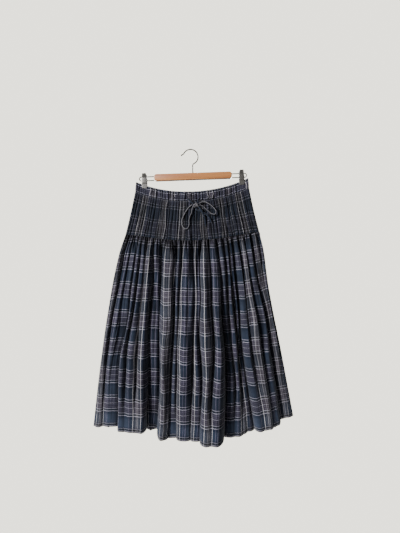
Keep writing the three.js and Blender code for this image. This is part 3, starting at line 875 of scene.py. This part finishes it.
WARP = (
    (0, CREAM), (1.5, CHARCOAL), (6, TAUPE), (8.4, CHARCOAL), (10.4, ASH), (11.7, TAUPE),
    (15.3, ASH), (16.6, CHARCOAL), (19, TAUPE), (21, CHARCOAL), (24, CREAM), (25.5, NAVY),
    (34, MAUVE), (35.1, NAVY), (40, MAUVE), (41.2, BLUE_GREY), (74, MAUVE), (75, NAVY),
)
WEFT = (
    (0, LILAC), (LINE, CHARCOAL), (PAIR, LILAC), (PAIR + LINE, PLUM), (13.2, MAUVE), (14.4, PLUM),
    (18.5, MAUVE), (19.6, PLUM), (23.8, LILAC), (24.9, PLUM), (29.3, MAUVE), (30.4, PLUM),
    (34.4, MAUVE), (35.6, PLUM), (PLUM_BAND, LILAC), (PLUM_BAND + LINE, CHARCOAL),
    (PLUM_BAND + PAIR, LILAC), (PLUM_BAND + PAIR + LINE, NAVY), (52, BLUE_GREY), (76, NAVY),
)
# How much light reaches a panel's cloth and comes through it, at metres over its hem.
LIGHT_THROUGH = (
    (0.0115, "#c3c3c3"), (0.0125, "#f8f8f8"), (0.032, "#f0f0f0"), (0.05, "#cbcbcb"),
    (0.515, "#cbcbcb"), (0.572, "#8a8a8a"),
)


def tartan_cotton(name, slip, seams, lightness, weft_share, crinkled_from=0, hem=False):
    """Plain-woven brushed cotton, yarn-dyed in a tartan check: soft, matte, a little nap that
    catches light at grazing angles, and slubs that make its lines waver. slip shifts the check
    across and along; seams gives the heights of its stitch lines over its lower edge; lightness
    scales the colour piece by piece as painted light and shade: lower where the cloth lies double,
    painted as if no light comes through it, and lowest on the yoke, painted dark for the shade
    among its tight gathers; weft_share is how much of the weft shows; above crinkled_from the
    gathers' thread draws it up in crinkles."""
    material, tree, shader = new_material(name)
    uv = add_node(tree, "ShaderNodeUVMap", uv_map=CLOTH_UV)
    slub = add_node(
        tree, "ShaderNodeTexNoise", {"Vector": uv, "Scale": SLUBS, "Detail": 2.0}, output="Color"
    )
    wavered = add_node(
        tree, "ShaderNodeVectorMath", {0: slub, 1: (SLUB_SWAY, SLUB_SWAY, 0.0), 2: uv},
        operation="MULTIPLY_ADD",
    )
    setts = add_node(
        tree, "ShaderNodeVectorMath",
        {0: wavered, 1: (1 / (SETT * MM), 1 / (SETT * MM), 0.0),
         2: (slip[0] / SETT, slip[1] / SETT, 0.0)},
        operation="MULTIPLY_ADD",
    )
    places = add_node(tree, "ShaderNodeVectorMath", {0: setts}, operation="FRACTION")
    across, along, _ = add_node(tree, "ShaderNodeSeparateXYZ", {0: places}).node.outputs
    warp = add_node(tree, "ShaderNodeValToRGB", {"Fac": across})
    weft = add_node(tree, "ShaderNodeValToRGB", {"Fac": along})
    colour_stops(warp, WARP, SETT, "CONSTANT")
    colour_stops(weft, WEFT, SETT, "CONSTANT")
    threads = add_node(
        tree, "ShaderNodeTexChecker", {"Vector": uv, "Scale": 1 / (THREAD * MM)}, output="Fac"
    )
    over = add_node(
        tree, "ShaderNodeMapRange",
        {"Value": threads, "To Min": weft_share - 0.2, "To Max": weft_share + 0.2},
    )
    woven = add_node(
        tree, "ShaderNodeMix", {"Factor": over, 6: warp, 7: weft}, output=2, data_type="RGBA"
    )

    worn = add_node(
        tree, "ShaderNodeTexNoise", {"Vector": uv, "Scale": WORN_PATCHES, "Detail": 3.0}
    )
    fade = add_node(
        tree, "ShaderNodeMapRange",
        {"Value": worn, "From Min": 0.3, "From Max": 0.7, "To Min": 0.72, "To Max": 1.25},
    )
    fine = add_node(tree, "ShaderNodeVectorMath", {0: uv, 1: STREAKS}, operation="MULTIPLY")
    streak = add_node(tree, "ShaderNodeTexNoise", {"Vector": fine, "Scale": 1.0, "Detail": 1.0})
    streaky = add_node(
        tree, "ShaderNodeMapRange",
        {"Value": streak, "To Min": 0.75 * lightness, "To Max": 1.25 * lightness},
    )
    tone = add_node(tree, "ShaderNodeMath", {0: fade, 1: streaky}, operation="MULTIPLY")
    place_u, place_v, _ = add_node(tree, "ShaderNodeSeparateXYZ", {0: uv}).node.outputs
    if hem:
        # The turned-up hem is double and dark, and light comes through the thin cloth over it.
        # Up at the seam the gathers are drawn tight, and less light reaches the cloth.
        thin = add_node(tree, "ShaderNodeValToRGB", {"Fac": place_v})
        colour_stops(thin, LIGHT_THROUGH)
        tone = add_node(tree, "ShaderNodeMath", {0: tone, 1: thin}, operation="MULTIPLY")
    shaded = add_node(tree, "ShaderNodeVectorMath", {0: woven, "Scale": tone}, operation="SCALE")

    stitches = add_node(
        tree, "ShaderNodeMath", {0: place_u, 1: 1 / (STITCH * MM)}, operation="MULTIPLY"
    )
    stitches = add_node(tree, "ShaderNodeMath", {0: stitches}, operation="FRACT")
    stitches = add_node(
        tree, "ShaderNodeMath", {0: stitches, 1: STITCH_SHARE}, operation="LESS_THAN"
    )
    sewn = 0.0
    for height in seams:
        near = add_node(
            tree, "ShaderNodeMath", {0: place_v, 1: height * MM, 2: STITCH_HALF * MM},
            operation="COMPARE",
        )
        sewn = add_node(tree, "ShaderNodeMath", {0: near, 1: sewn}, operation="MAXIMUM")
    sewn = add_node(tree, "ShaderNodeMath", {0: sewn, 1: stitches}, operation="MULTIPLY")
    dressed = add_node(
        tree, "ShaderNodeMix", {"Factor": sewn, 6: shaded, 7: linear_colour(SEWING_THREAD)},
        output=2, data_type="RGBA",
    )

    drawn = add_node(tree, "ShaderNodeVectorMath", {0: uv, 1: CRINKLES}, operation="MULTIPLY")
    crinkle = add_node(tree, "ShaderNodeTexNoise", {"Vector": drawn, "Scale": 1.0, "Detail": 2.0})
    crisp = add_node(
        tree, "ShaderNodeMapRange",
        {"Value": place_v, "From Min": crinkled_from * MM - 0.25, "From Max": crinkled_from * MM,
         "To Min": 0.15, "To Max": 0.9},
    )
    relief = add_node(
        tree, "ShaderNodeBump", {"Height": threads, "Strength": 0.35, "Distance": 0.0002}
    )
    for height, strength, distance in (
        (streak, 0.4, 0.0004), (crinkle, crisp, CRINKLE_DEPTH), (sewn, 0.6, 0.0004),
    ):
        relief = add_node(
            tree, "ShaderNodeBump",
            {"Height": height, "Strength": strength, "Distance": distance, "Normal": relief},
        )
    set_inputs(shader, {
        "Base Color": dressed, "Normal": relief, "Roughness": 0.88, "Specular IOR Level": 0.06,
        "Sheen Weight": 0.12, "Sheen Roughness": 0.5,
    })
    return material


def cord_cotton():
    """The same cotton sewn into a narrow tube: dark navy, ribbed by its threads, with a painted
    highlight along one side: a thin pale line with painted shade beside it."""
    material, tree, shader = new_material("cotton drawstring")
    uv = add_node(tree, "ShaderNodeUVMap", uv_map=CLOTH_UV)
    girth = math.pi * CORD
    turns = add_node(
        tree, "ShaderNodeVectorMath", {0: uv, 1: (1 / (girth * MM), 1.0, 0.0)},
        operation="MULTIPLY",
    )
    turns = add_node(tree, "ShaderNodeVectorMath", {0: turns}, operation="FRACTION")
    turns = add_node(tree, "ShaderNodeSeparateXYZ", {0: turns})
    colour = add_node(tree, "ShaderNodeValToRGB", {"Fac": turns})
    # Painted highlight and shade round the cord: a thin pale line at u = 0, dark ink either side,
    # navy behind.
    painted_highlight_and_shade = ((0, ASH), (0.5, INK), (2.6, NAVY), (9.9, INK), (girth - 0.5, ASH))
    colour_stops(colour, painted_highlight_and_shade, girth, "CONSTANT")
    threads = add_node(
        tree, "ShaderNodeTexChecker", {"Vector": uv, "Scale": 1 / (THREAD * MM)}, output="Fac"
    )
    relief = add_node(
        tree, "ShaderNodeBump", {"Height": threads, "Strength": 0.3, "Distance": 0.0002}
    )
    set_inputs(shader, {
        "Base Color": colour, "Normal": relief, "Roughness": 0.85, "Specular IOR Level": 0.1,
        "Sheen Weight": 0.15,
    })
    return material


def varnished_beech():
    """Straight-grained beech, planed and clear varnished: warm pale wood with fine darker grain
    lines along the bar, short flecks, and a satin shine."""
    material, tree, shader = new_material("varnished beech")
    place = add_node(tree, "ShaderNodeTexCoord", output="Object")
    noises = []
    for scale, detail in (((6.0, 420.0, 420.0), 4.0), ((160.0, 1300.0, 1300.0), 1.0)):
        along = add_node(
            tree, "ShaderNodeMapping",
            {"Vector": place, "Rotation": (0.0, HANGER_TILT, 0.0), "Scale": scale},
        )
        noises.append(
            add_node(tree, "ShaderNodeTexNoise", {"Vector": along, "Scale": 1.0, "Detail": detail})
        )
    grain, flecks = noises
    wood = add_node(tree, "ShaderNodeValToRGB", {"Fac": grain})
    colour_stops(wood, ((0.3, BEECH_DARK), (0.68, BEECH_PALE)))
    spotted = add_node(
        tree, "ShaderNodeMapRange",
        {"Value": flecks, "From Min": 0.55, "From Max": 0.75, "To Min": 1.0, "To Max": 0.8},
    )
    colour = add_node(tree, "ShaderNodeVectorMath", {0: wood, "Scale": spotted}, operation="SCALE")
    relief = add_node(
        tree, "ShaderNodeBump", {"Height": grain, "Strength": 0.15, "Distance": 0.0003}
    )
    set_inputs(shader, {
        "Base Color": colour, "Normal": relief, "Roughness": 0.38, "Coat Weight": 0.35,
        "Coat Roughness": 0.2,
    })
    return material


def chrome_plate(name, roughness, dull, bright):
    """Chromium plating on steel wire and strip: a neutral metal with faint draw marks and a slight
    tarnish that breaks its reflections. Its colours are painted far darker than bright chrome, a
    painted reflection of a dark room."""
    material, tree, shader = new_material(name)
    place = add_node(tree, "ShaderNodeTexCoord", output="Object")
    marks = add_node(tree, "ShaderNodeTexNoise", {"Vector": place, "Scale": 700.0, "Detail": 3.0})
    rough = add_node(
        tree, "ShaderNodeMapRange",
        {"Value": marks, "To Min": roughness - 0.06, "To Max": roughness + 0.1},
    )
    colour = add_node(tree, "ShaderNodeValToRGB", {"Fac": marks})
    colour_stops(colour, ((0.25, dull), (0.6, bright)))
    set_inputs(shader, {"Base Color": colour, "Roughness": rough, "Metallic": 1.0})
    return material


def studio_paper():
    """Matte pale studio paper for the floor."""
    material, tree, shader = new_material("studio paper")
    place = add_node(tree, "ShaderNodeTexCoord", output="Object")
    fibre = add_node(tree, "ShaderNodeTexNoise", {"Vector": place, "Scale": 3.0, "Detail": 2.0})
    colour = add_node(tree, "ShaderNodeValToRGB", {"Fac": fibre})
    colour_stops(colour, ((0.0, PAPER_DARK), (1.0, PAPER_PALE)))
    set_inputs(shader, {"Base Color": colour, "Roughness": 0.95})
    return material


def chrome_wire():
    """The hook's and the rails' wire, made once and shared."""
    name = "chrome plate on wire"
    made = bpy.data.materials.get(name)
    return made or chrome_plate(name, WIRE_ROUGHNESS, WIRE_DULL, WIRE_BRIGHT)


# ------------------------------------------------------------------ studio

PICTURE_WIDTH, PICTURE_HEIGHT = 400, 533
SENSOR = 36  # millimetres along the picture's height
CAMERA_PLACE = (0.0291, -1.2, -0.3495)  # level with the middle of the picture, 1.2 m in front
FLOOR_Z, FLOOR_RADIUS = -2000, 1200
ROOM_TONE, ROOM_LIGHT = "#cfdcff", 0.075  # colour and strength of the light from all round
BACKDROP, BACKDROP_LIGHT = "#e6e3d6", 3.1  # colour and strength of what the camera sees
MIRRORED_SHARE = 0.13  # share of the backdrop's strength in what the metal mirrors
KEY_POWER = 385.0
# Square lights that all aim at the skirt: place, size and share of the key light's power.
LIGHTS = (
    ("key", (-2.62, -2.72, 0.86), 0.8, 1.0),
    ("soft", (-1.0, -2.1, 0.1), 1.2, 0.02),
    ("fill", (1.6, -2.2, 0.2), 2.0, 0.005),
    ("behind", (0.1, 2.3, 0.7), 1.6, 0.4),
    ("side", (2.1, 1.2, 0.2), 1.0, 0.15),
)
LIGHT_AIM = (0.01, -0.04, -0.5)

# ------------------------------------------------------------------ sizes and colours to change


class SkirtSettings(bpy.types.PropertyGroup):
    cloth_thickness: bpy.props.FloatProperty(
        name="Cloth thickness", description="Thickness of one layer of cloth",
        default=0.8 * MM, min=0.2 * MM, max=2.5 * MM, subtype="DISTANCE", unit="LENGTH",
    )
    casing_thickness: bpy.props.FloatProperty(
        name="Casing thickness", description="Thickness of the waist casing with its elastic",
        default=2.4 * MM, min=0.5 * MM, max=3 * MM, subtype="DISTANCE", unit="LENGTH",
    )
    cord_diameter: bpy.props.FloatProperty(
        name="Cord diameter", description="Diameter of the drawstring",
        default=CORD * MM, min=2 * MM, max=6 * MM, subtype="DISTANCE", unit="LENGTH",
    )
    backdrop: bpy.props.FloatVectorProperty(
        name="Backdrop", description="Colour of the studio around the skirt",
        default=linear_colour(BACKDROP)[:3], size=3, min=0, max=1, subtype="COLOR",
    )
    key_power: bpy.props.FloatProperty(
        name="Key light", description="Power of the main light, at the left",
        default=KEY_POWER, min=0, unit="POWER",
    )


def settings():
    return bpy.context.scene.skirt_settings


# ------------------------------------------------------------------ operators


class SKIRT_OT_stage(bpy.types.Operator):
    """Makes the camera, the lights, the studio's tone and the floor"""

    bl_idname = "skirt.stage"
    bl_label = "Studio"

    def execute(self, context):
        self.camera(context.scene)
        self.backdrop(context.scene)
        for name, place, size, share in LIGHTS:
            self.light(name, place, size, share * settings().key_power)

        bm = bmesh.new()
        bmesh.ops.create_circle(bm, cap_ends=True, segments=96, radius=FLOOR_RADIUS)
        bmesh.ops.translate(bm, vec=(0, 0, FLOOR_Z), verts=bm.verts)
        floor = finish_mesh(bm, "floor", smooth=False)
        floor.data.materials.append(studio_paper())
        return {"FINISHED"}

    @staticmethod
    def camera(scene):
        """A level camera. At its distance it sees as far across as it is away."""
        data = bpy.data.cameras.new("camera")
        data.sensor_width = SENSOR
        data.lens = PICTURE_WIDTH * SENSOR / PICTURE_HEIGHT
        camera = new_object("camera", data)
        camera.location = CAMERA_PLACE
        camera.rotation_euler = (math.radians(90), 0, 0)
        scene.camera = camera

    @staticmethod
    def backdrop(scene):
        """Bright where the camera sees it, dimmer in the metal, and a soft light on the cloth."""
        world = bpy.data.worlds.new("studio")
        world.use_nodes = True
        tree = world.node_tree
        tone = (*settings().backdrop, 1.0)
        around = tree.nodes["Background"]
        set_inputs(around, {"Color": linear_colour(ROOM_TONE), "Strength": ROOM_LIGHT})
        seen = add_node(tree, "ShaderNodeBackground", {"Color": tone, "Strength": BACKDROP_LIGHT})
        mirrored = add_node(tree, "ShaderNodeLightPath", output="Is Glossy Ray")
        share = add_node(
            tree, "ShaderNodeMath",
            {0: mirrored, 1: MIRRORED_SHARE, 2: mirrored.node.outputs["Is Camera Ray"]},
            operation="MULTIPLY_ADD",
        )
        both = add_node(tree, "ShaderNodeMixShader", {0: share, 1: around.outputs[0], 2: seen})
        set_inputs(tree.nodes["World Output"], {"Surface": both})
        scene.world = world

    @staticmethod
    def light(name, place, size, power):
        lamp = bpy.data.lights.new(name, "AREA")
        lamp.shape = "SQUARE"
        lamp.size = size
        lamp.energy = power
        light = new_object(name, lamp)
        light.location = place
        aim = Vector(LIGHT_AIM) - Vector(place)
        light.rotation_euler = aim.to_track_quat("-Z", "Y").to_euler()


class SKIRT_OT_drawstring(bpy.types.Operator):
    """Makes the bow's two loops, its two free ends and its knot"""

    bl_idname = "skirt.drawstring"
    bl_label = "Drawstring bow"

    def execute(self, context):
        cloth = cord_cotton()
        radius = settings().cord_diameter / MM / 2
        knot = self.knot(radius, cloth)
        # Each cord's node, route and far end, and the roll that turns its painted highlight
        # towards the front on the loops and away on the free ends.
        parts = (
            ("bow_loop_left", LOOP_LEFT, "object", 0.03),
            ("bow_loop_right", LOOP_RIGHT, "object", -0.03),
            ("bow_tail_front", TAIL_FRONT, "bare", 0.4),
            ("bow_tail_under", TAIL_UNDER, "bare", 0.5),
        )
        for node, stops, far_end, roll in parts:
            route = smooth_route(over_yoke(stops), 6)
            cord = tube_along(node.replace("bow_", "cord_"), route, radius, 16, roll=roll)
            dress(cord, cloth, node)
        return {"FINISHED"}

    @staticmethod
    def knot(radius, cloth):
        """A pulled-up bow knot: turns of cord over a soft core, with both leads."""
        centre = Vector((KNOT_X, KNOT_Y, KNOT_Z))
        _, deep, high = (half - 0.9 * radius for half in KNOT_HALF)
        strands = [(smooth_route(lead, 5), True) for lead in (LEAD_LEFT, LEAD_RIGHT)]
        for sway, less_deep, less_high, lean, shift in KNOT_TURNS:
            route = []
            for step in range(KNOT_STEPS + 1):
                angle = 2 * math.pi * step / KNOT_STEPS
                point = Vector((
                    sway * math.sin(angle * 2),
                    (deep - less_deep) * math.cos(angle),
                    (high - less_high) * math.sin(angle),
                ))
                point.rotate(Matrix.Rotation(lean, 3, "Y"))
                route.append(centre + Vector(shift) + point)
            strands.append((route, False))
        bm = melted(*(
            tube_along("strand", route, radius * KNOT_CORD, 12, close_ends=closed)
            for route, closed in strands
        ))
        core = bmesh.ops.create_icosphere(bm, subdivisions=3, radius=1)["verts"]
        bmesh.ops.scale(bm, vec=Vector(KNOT_HALF) * KNOT_CORE, verts=core)
        bmesh.ops.translate(bm, vec=centre, verts=core)
        return dress(finish_mesh(bm, "drawstring_knot"), cloth, "bow_knot")


class SKIRT_OT_waistband(bpy.types.Operator):
    """Makes the gathered waist casing, front and back"""

    bl_idname = "skirt.waistband"
    bl_label = "Waistband"

    def execute(self, context):
        levels = (WAIST_TOP, WAIST_MIDDLE, WAIST_SEAM)
        for side, facing in SIDES:
            slip = BAND_SLIP_ACROSS[side]
            # Painted shade: the double casing's cloth is painted a little darker than the skirt's.
            cloth = tartan_cotton(
                f"tartan cotton, waist {side}", (slip, BAND_SLIP), BAND_SEAMS,
                lightness=0.85, weft_share=0.45,
            )
            strip = BandStrip(
                levels, side, facing, BAND_GATHERS, BAND_GATHER_DEPTH, BAND_WALL, (1, 1, 0.5),
                per_gather=10, rows=16, seed=3 + facing,
            )
            band = strip.build(f"waist_casing_{side}")
            thicken(band, settings().casing_thickness)
            dress(band, cloth, f"waistband_{side}")
        return {"FINISHED"}


class SKIRT_OT_yoke(bpy.types.Operator):
    """Makes the softly gathered hip yoke, front and back"""

    bl_idname = "skirt.yoke"
    bl_label = "Hip yoke"

    def execute(self, context):
        levels = (WAIST_SEAM, YOKE_MIDDLE, HIP_SEAM)
        for side, facing in SIDES:
            strip = YokeStrip(
                levels, side, facing, YOKE_GATHERS, YOKE_GATHER_DEPTH, CLOTH_WALL, (0.5, 0, 0),
                per_gather=12, rows=44, seed=11 + facing,
            )
            slip = SETT - strip.across_at(YOKE_LINE_X) % SETT
            # Painted shade: the yoke's cloth is painted much darker than the skirt's, for the
            # shade among its tight gathers.
            cloth = tartan_cotton(
                f"tartan cotton, yoke {side}", (slip, YOKE_SLIP), YOKE_SEAMS,
                lightness=0.47, weft_share=0.3,
            )
            yoke = strip.build(f"hip_yoke_{side}")
            thicken(yoke, settings().cloth_thickness)
            dress(yoke, cloth, f"yoke_{side}")
        return {"FINISHED"}


class SKIRT_OT_panels(bpy.types.Operator):
    """Makes the gathered skirt from hip seam to hem, front and back"""

    bl_idname = "skirt.panels"
    bl_label = "Gathered skirt"

    def execute(self, context):
        sides = (("front", -1, front_folds(), 2.0), ("back", 1, back_folds(), 31.0))
        for side, facing, folds, seed in sides:
            cloth = tartan_cotton(
                f"tartan cotton, skirt {side}", (0, SETT - HEM_TO_BAND), HEM_SEAM,
                lightness=1.67, weft_share=0.5, crinkled_from=CRINKLED_FROM, hem=True,
            )
            hanging = HangingPanel(side, facing, folds, seed)
            panel = hanging.build(f"gathered_panel_{side}")
            thicken(panel, settings().cloth_thickness)
            dress(panel, cloth, f"skirt_{side}")
        return {"FINISHED"}


class SKIRT_OT_hook(bpy.types.Operator):
    """Makes the hanger's wire hook with its ball tip"""

    bl_idname = "skirt.hook"
    bl_label = "Hook"

    def execute(self, context):
        centre_z = HOOK_WIRE / 2 - HOOK_RADIUS
        bar_top = BAR_Z + BAR_HEIGHT / 2
        stops = list(HOOK_END)
        for degrees in range(150, -51, -20):  # from the open end over the top and down
            angle = math.radians(degrees)
            x, z = HOOK_RADIUS * math.cos(angle), HOOK_RADIUS * math.sin(angle)
            stops.append((x, centre_z + z))
        stops.append(HOOK_NECK)
        stops += [(SHAFT_X, z) for z in (*SHAFT_STOPS, bar_top + SEAM_GAP)]
        stops = [(x, 0, z) for x, z in stops]
        wire = tube_along("wire", smooth_route(stops, 6), HOOK_WIRE / 2, 16, hanger=True)
        bm = melted(wire)
        place = Matrix.Rotation(-HANGER_TILT, 4, "Y") @ Matrix.Translation(stops[0])
        bmesh.ops.create_icosphere(bm, subdivisions=3, radius=HOOK_TIP / 2, matrix=place)
        dress(finish_mesh(bm, "wire_hook"), chrome_wire(), "hanger_hook")
        return {"FINISHED"}


class SKIRT_OT_bar(bpy.types.Operator):
    """Makes the wooden bar with its chamfered ends"""

    bl_idname = "skirt.bar"
    bl_label = "Wooden bar"

    def execute(self, context):
        bm = bmesh.new()
        bmesh.ops.create_cube(bm, size=1)
        bmesh.ops.scale(bm, vec=(BAR_LENGTH, BAR_DEPTH, BAR_HEIGHT), verts=bm.verts)
        ends = [e for e in bm.edges if abs(e.verts[0].co.y - e.verts[1].co.y) > 1]
        bmesh.ops.bevel(
            bm, geom=ends, offset=BAR_CORNER, offset_type="OFFSET", segments=1,
            profile=0.5, affect="EDGES", material=-1,
        )
        bmesh.ops.bevel(
            bm, geom=list(bm.edges), offset=BAR_ROUNDING, offset_type="OFFSET", segments=4,
            profile=0.5, affect="EDGES", material=-1,
        )
        bmesh.ops.translate(bm, vec=(SHAFT_X, 0, BAR_Z), verts=bm.verts)
        tip_with_hanger(bm)
        bar = finish_mesh(bm, "wooden_bar")
        dress(bar, varnished_beech(), "hanger_bar")
        return {"FINISHED"}


class SKIRT_OT_rails(bpy.types.Operator):
    """Makes the bent wire that carries a clip, one at each end of the bar"""

    bl_idname = "skirt.rails"
    bl_label = "Rail wires"

    def execute(self, context):
        middle = (RAIL_UPPER_Z + RAIL_LOWER_Z) / 2
        turn = (RAIL_UPPER_Z - RAIL_LOWER_Z) / 2
        start = BAR_LENGTH / 2 + SEAM_GAP
        for end, side in ENDS:
            stops = [(lerp(start, RAIL_TURN_X - 1, t), RAIL_UPPER_Z) for t in (0, 0.5, 1)]
            for degrees in (60, 30, 0, -30, -60):
                angle = math.radians(degrees)
                x, z = turn * math.cos(angle), turn * math.sin(angle)
                stops.append((RAIL_TURN_X + x, middle + z))
            stops += [(lerp(start, RAIL_TURN_X - 1, t), RAIL_LOWER_Z) for t in (1, 0.5, 0)]
            route = smooth_route([(SHAFT_X + side * x, 0, z) for x, z in stops], 5)
            wire = tube_along(f"clip_rail_{end}", route, RAIL_WIRE / 2, 14, hanger=True)
            dress(wire, chrome_wire(), f"rail_{end}")
        return {"FINISHED"}


class SKIRT_OT_clips(bpy.types.Operator):
    """Makes the two sliding clips: two bent plates each, round a spring on a pin"""

    bl_idname = "skirt.clips"
    bl_label = "Clips"

    # The plate's inner face from the squeeze tab to the jaw: out from the middle, and height.
    PROFILE = (
        (8.5, -66), (7.2, -70.5), (CLIP_BARREL + SEAM_GAP, -78.75),
        (CLIP_BARREL + SEAM_GAP, -84.75), (CLIP_BARREL + SEAM_GAP + 0.4, -93),
        (JAW_FACE, -98), (JAW_FACE, -110.5),
    )

    def execute(self, context):
        steel = chrome_plate(
            "chrome plate on bent strip", STRIP_ROUGHNESS, STRIP_DULL, STRIP_BRIGHT
        )
        for end, side in ENDS:
            for face, facing in SIDES:
                plate = self.plate(f"clip_plate_{end}_{face}", side, facing)
                dress(plate, steel, f"clip_{end}_{face}")
            spring = self.spring(f"clip_spring_{end}", side)
            dress(spring, steel, f"clip_{end}_barrel")
        return {"FINISHED"}

    def plate(self, name, side, facing):
        """One bent plate: a narrower squeeze tab, a slight crown across it, a waist round the
        spring, and a flat jaw, with the corners of both ends rounded. t runs down its length."""
        stations = running_length(self.PROFILE)
        outs, heights = zip(*self.PROFILE)
        bm = bmesh.new()
        bmesh.ops.create_grid(bm, x_segments=12, y_segments=36, size=0.5)
        for vert in bm.verts:
            t = (0.5 - vert.co.y) * stations[-1]
            across = vert.co.x * 2
            width = CLIP_WIDTH / 2 * (0.82 + 0.18 * smoothstep(t, 4, 24))
            width -= 1.6 * smoothstep(t, stations[-1] - 5, stations[-1]) ** 2
            width -= 1.8 * (1 - smoothstep(t, 0, 4)) ** 2
            crown = 0.5 * across**2 * smoothstep(t, 4, 12) * (1 - smoothstep(t, 26, 34))
            out = through(stations, outs, t) - crown * 0.6
            vert.co = (
                SHAFT_X + side * CLIP_X + across * width,
                facing * max(out, JAW_FACE if t > 30 else CLIP_BARREL * 0.8),
                through(stations, heights, t),
            )
        face_outwards(bm, facing)
        bmesh.ops.solidify(bm, geom=list(bm.faces), thickness=-CLIP_PLATE)
        bmesh.ops.recalc_face_normals(bm, faces=bm.faces)
        tip_with_hanger(bm)
        plate = finish_mesh(bm, name)
        edge = plate.modifiers.new("rounded edges", "BEVEL")
        edge.width = PLATE_ROUNDING * MM
        edge.segments = 2
        edge.limit_method = "ANGLE"
        return plate

    def spring(self, name, side):
        """A coil of wire round a pin, as wide as the plates."""
        middle = Vector((SHAFT_X + side * CLIP_X, 0, CLIP_BARREL_Z))
        radius = CLIP_BARREL - SPRING_WIRE / 2
        count = SPRING_TURNS * SPRING_STEPS
        route = []
        for step in range(count + 1):
            angle = 2 * math.pi * step / SPRING_STEPS
            x = lerp(-SPRING_LENGTH / 2, SPRING_LENGTH / 2, step / count)
            route.append(middle + Vector((x, radius * math.cos(angle), radius * math.sin(angle))))
        bm = melted(tube_along("coil", route, SPRING_WIRE / 2, 8, hanger=True))
        place = (
            Matrix.Rotation(-HANGER_TILT, 4, "Y")
            @ Matrix.Translation(middle)
            @ Matrix.Rotation(math.pi / 2, 4, "Y")
        )
        pin = bmesh.ops.create_cone(
            bm, cap_ends=True, segments=16, radius1=PIN_RADIUS, radius2=PIN_RADIUS,
            depth=PIN_LENGTH, matrix=place,
        )["verts"]
        rims = [e for e in edges_within(pin) if e.calc_face_angle(0) > 1]
        bmesh.ops.bevel(
            bm, geom=rims, offset=0.4, offset_type="OFFSET", segments=2, profile=0.5,
            affect="EDGES", material=-1,
        )
        return finish_mesh(bm, name)


class SKIRT_PT_panel(bpy.types.Panel):
    """Lists the skirt's pieces and settings"""

    bl_label = "Gathered Tartan Skirt"
    bl_space_type = "VIEW_3D"
    bl_region_type = "UI"
    bl_category = "Skirt"

    def draw(self, context):
        for name in SkirtSettings.__annotations__:
            self.layout.prop(context.scene.skirt_settings, name)
        for operator in OPERATORS:
            self.layout.operator(operator.bl_idname)


OPERATORS = (
    SKIRT_OT_stage,
    SKIRT_OT_drawstring,
    SKIRT_OT_waistband,
    SKIRT_OT_yoke,
    SKIRT_OT_panels,
    SKIRT_OT_hook,
    SKIRT_OT_bar,
    SKIRT_OT_rails,
    SKIRT_OT_clips,
)
CLASSES = (SkirtSettings, *OPERATORS, SKIRT_PT_panel)


def register():
    for cls in CLASSES:
        bpy.utils.register_class(cls)
    bpy.types.Scene.skirt_settings = bpy.props.PointerProperty(type=SkirtSettings)


def unregister():
    del bpy.types.Scene.skirt_settings
    for cls in reversed(CLASSES):
        bpy.utils.unregister_class(cls)


def main():
    register()
    bpy.ops.skirt.stage()
    bpy.ops.skirt.drawstring()
    bpy.ops.skirt.waistband()
    bpy.ops.skirt.yoke()
    bpy.ops.skirt.panels()
    bpy.ops.skirt.hook()
    bpy.ops.skirt.bar()
    bpy.ops.skirt.rails()
    bpy.ops.skirt.clips()


if __name__ == "__main__":
    main()
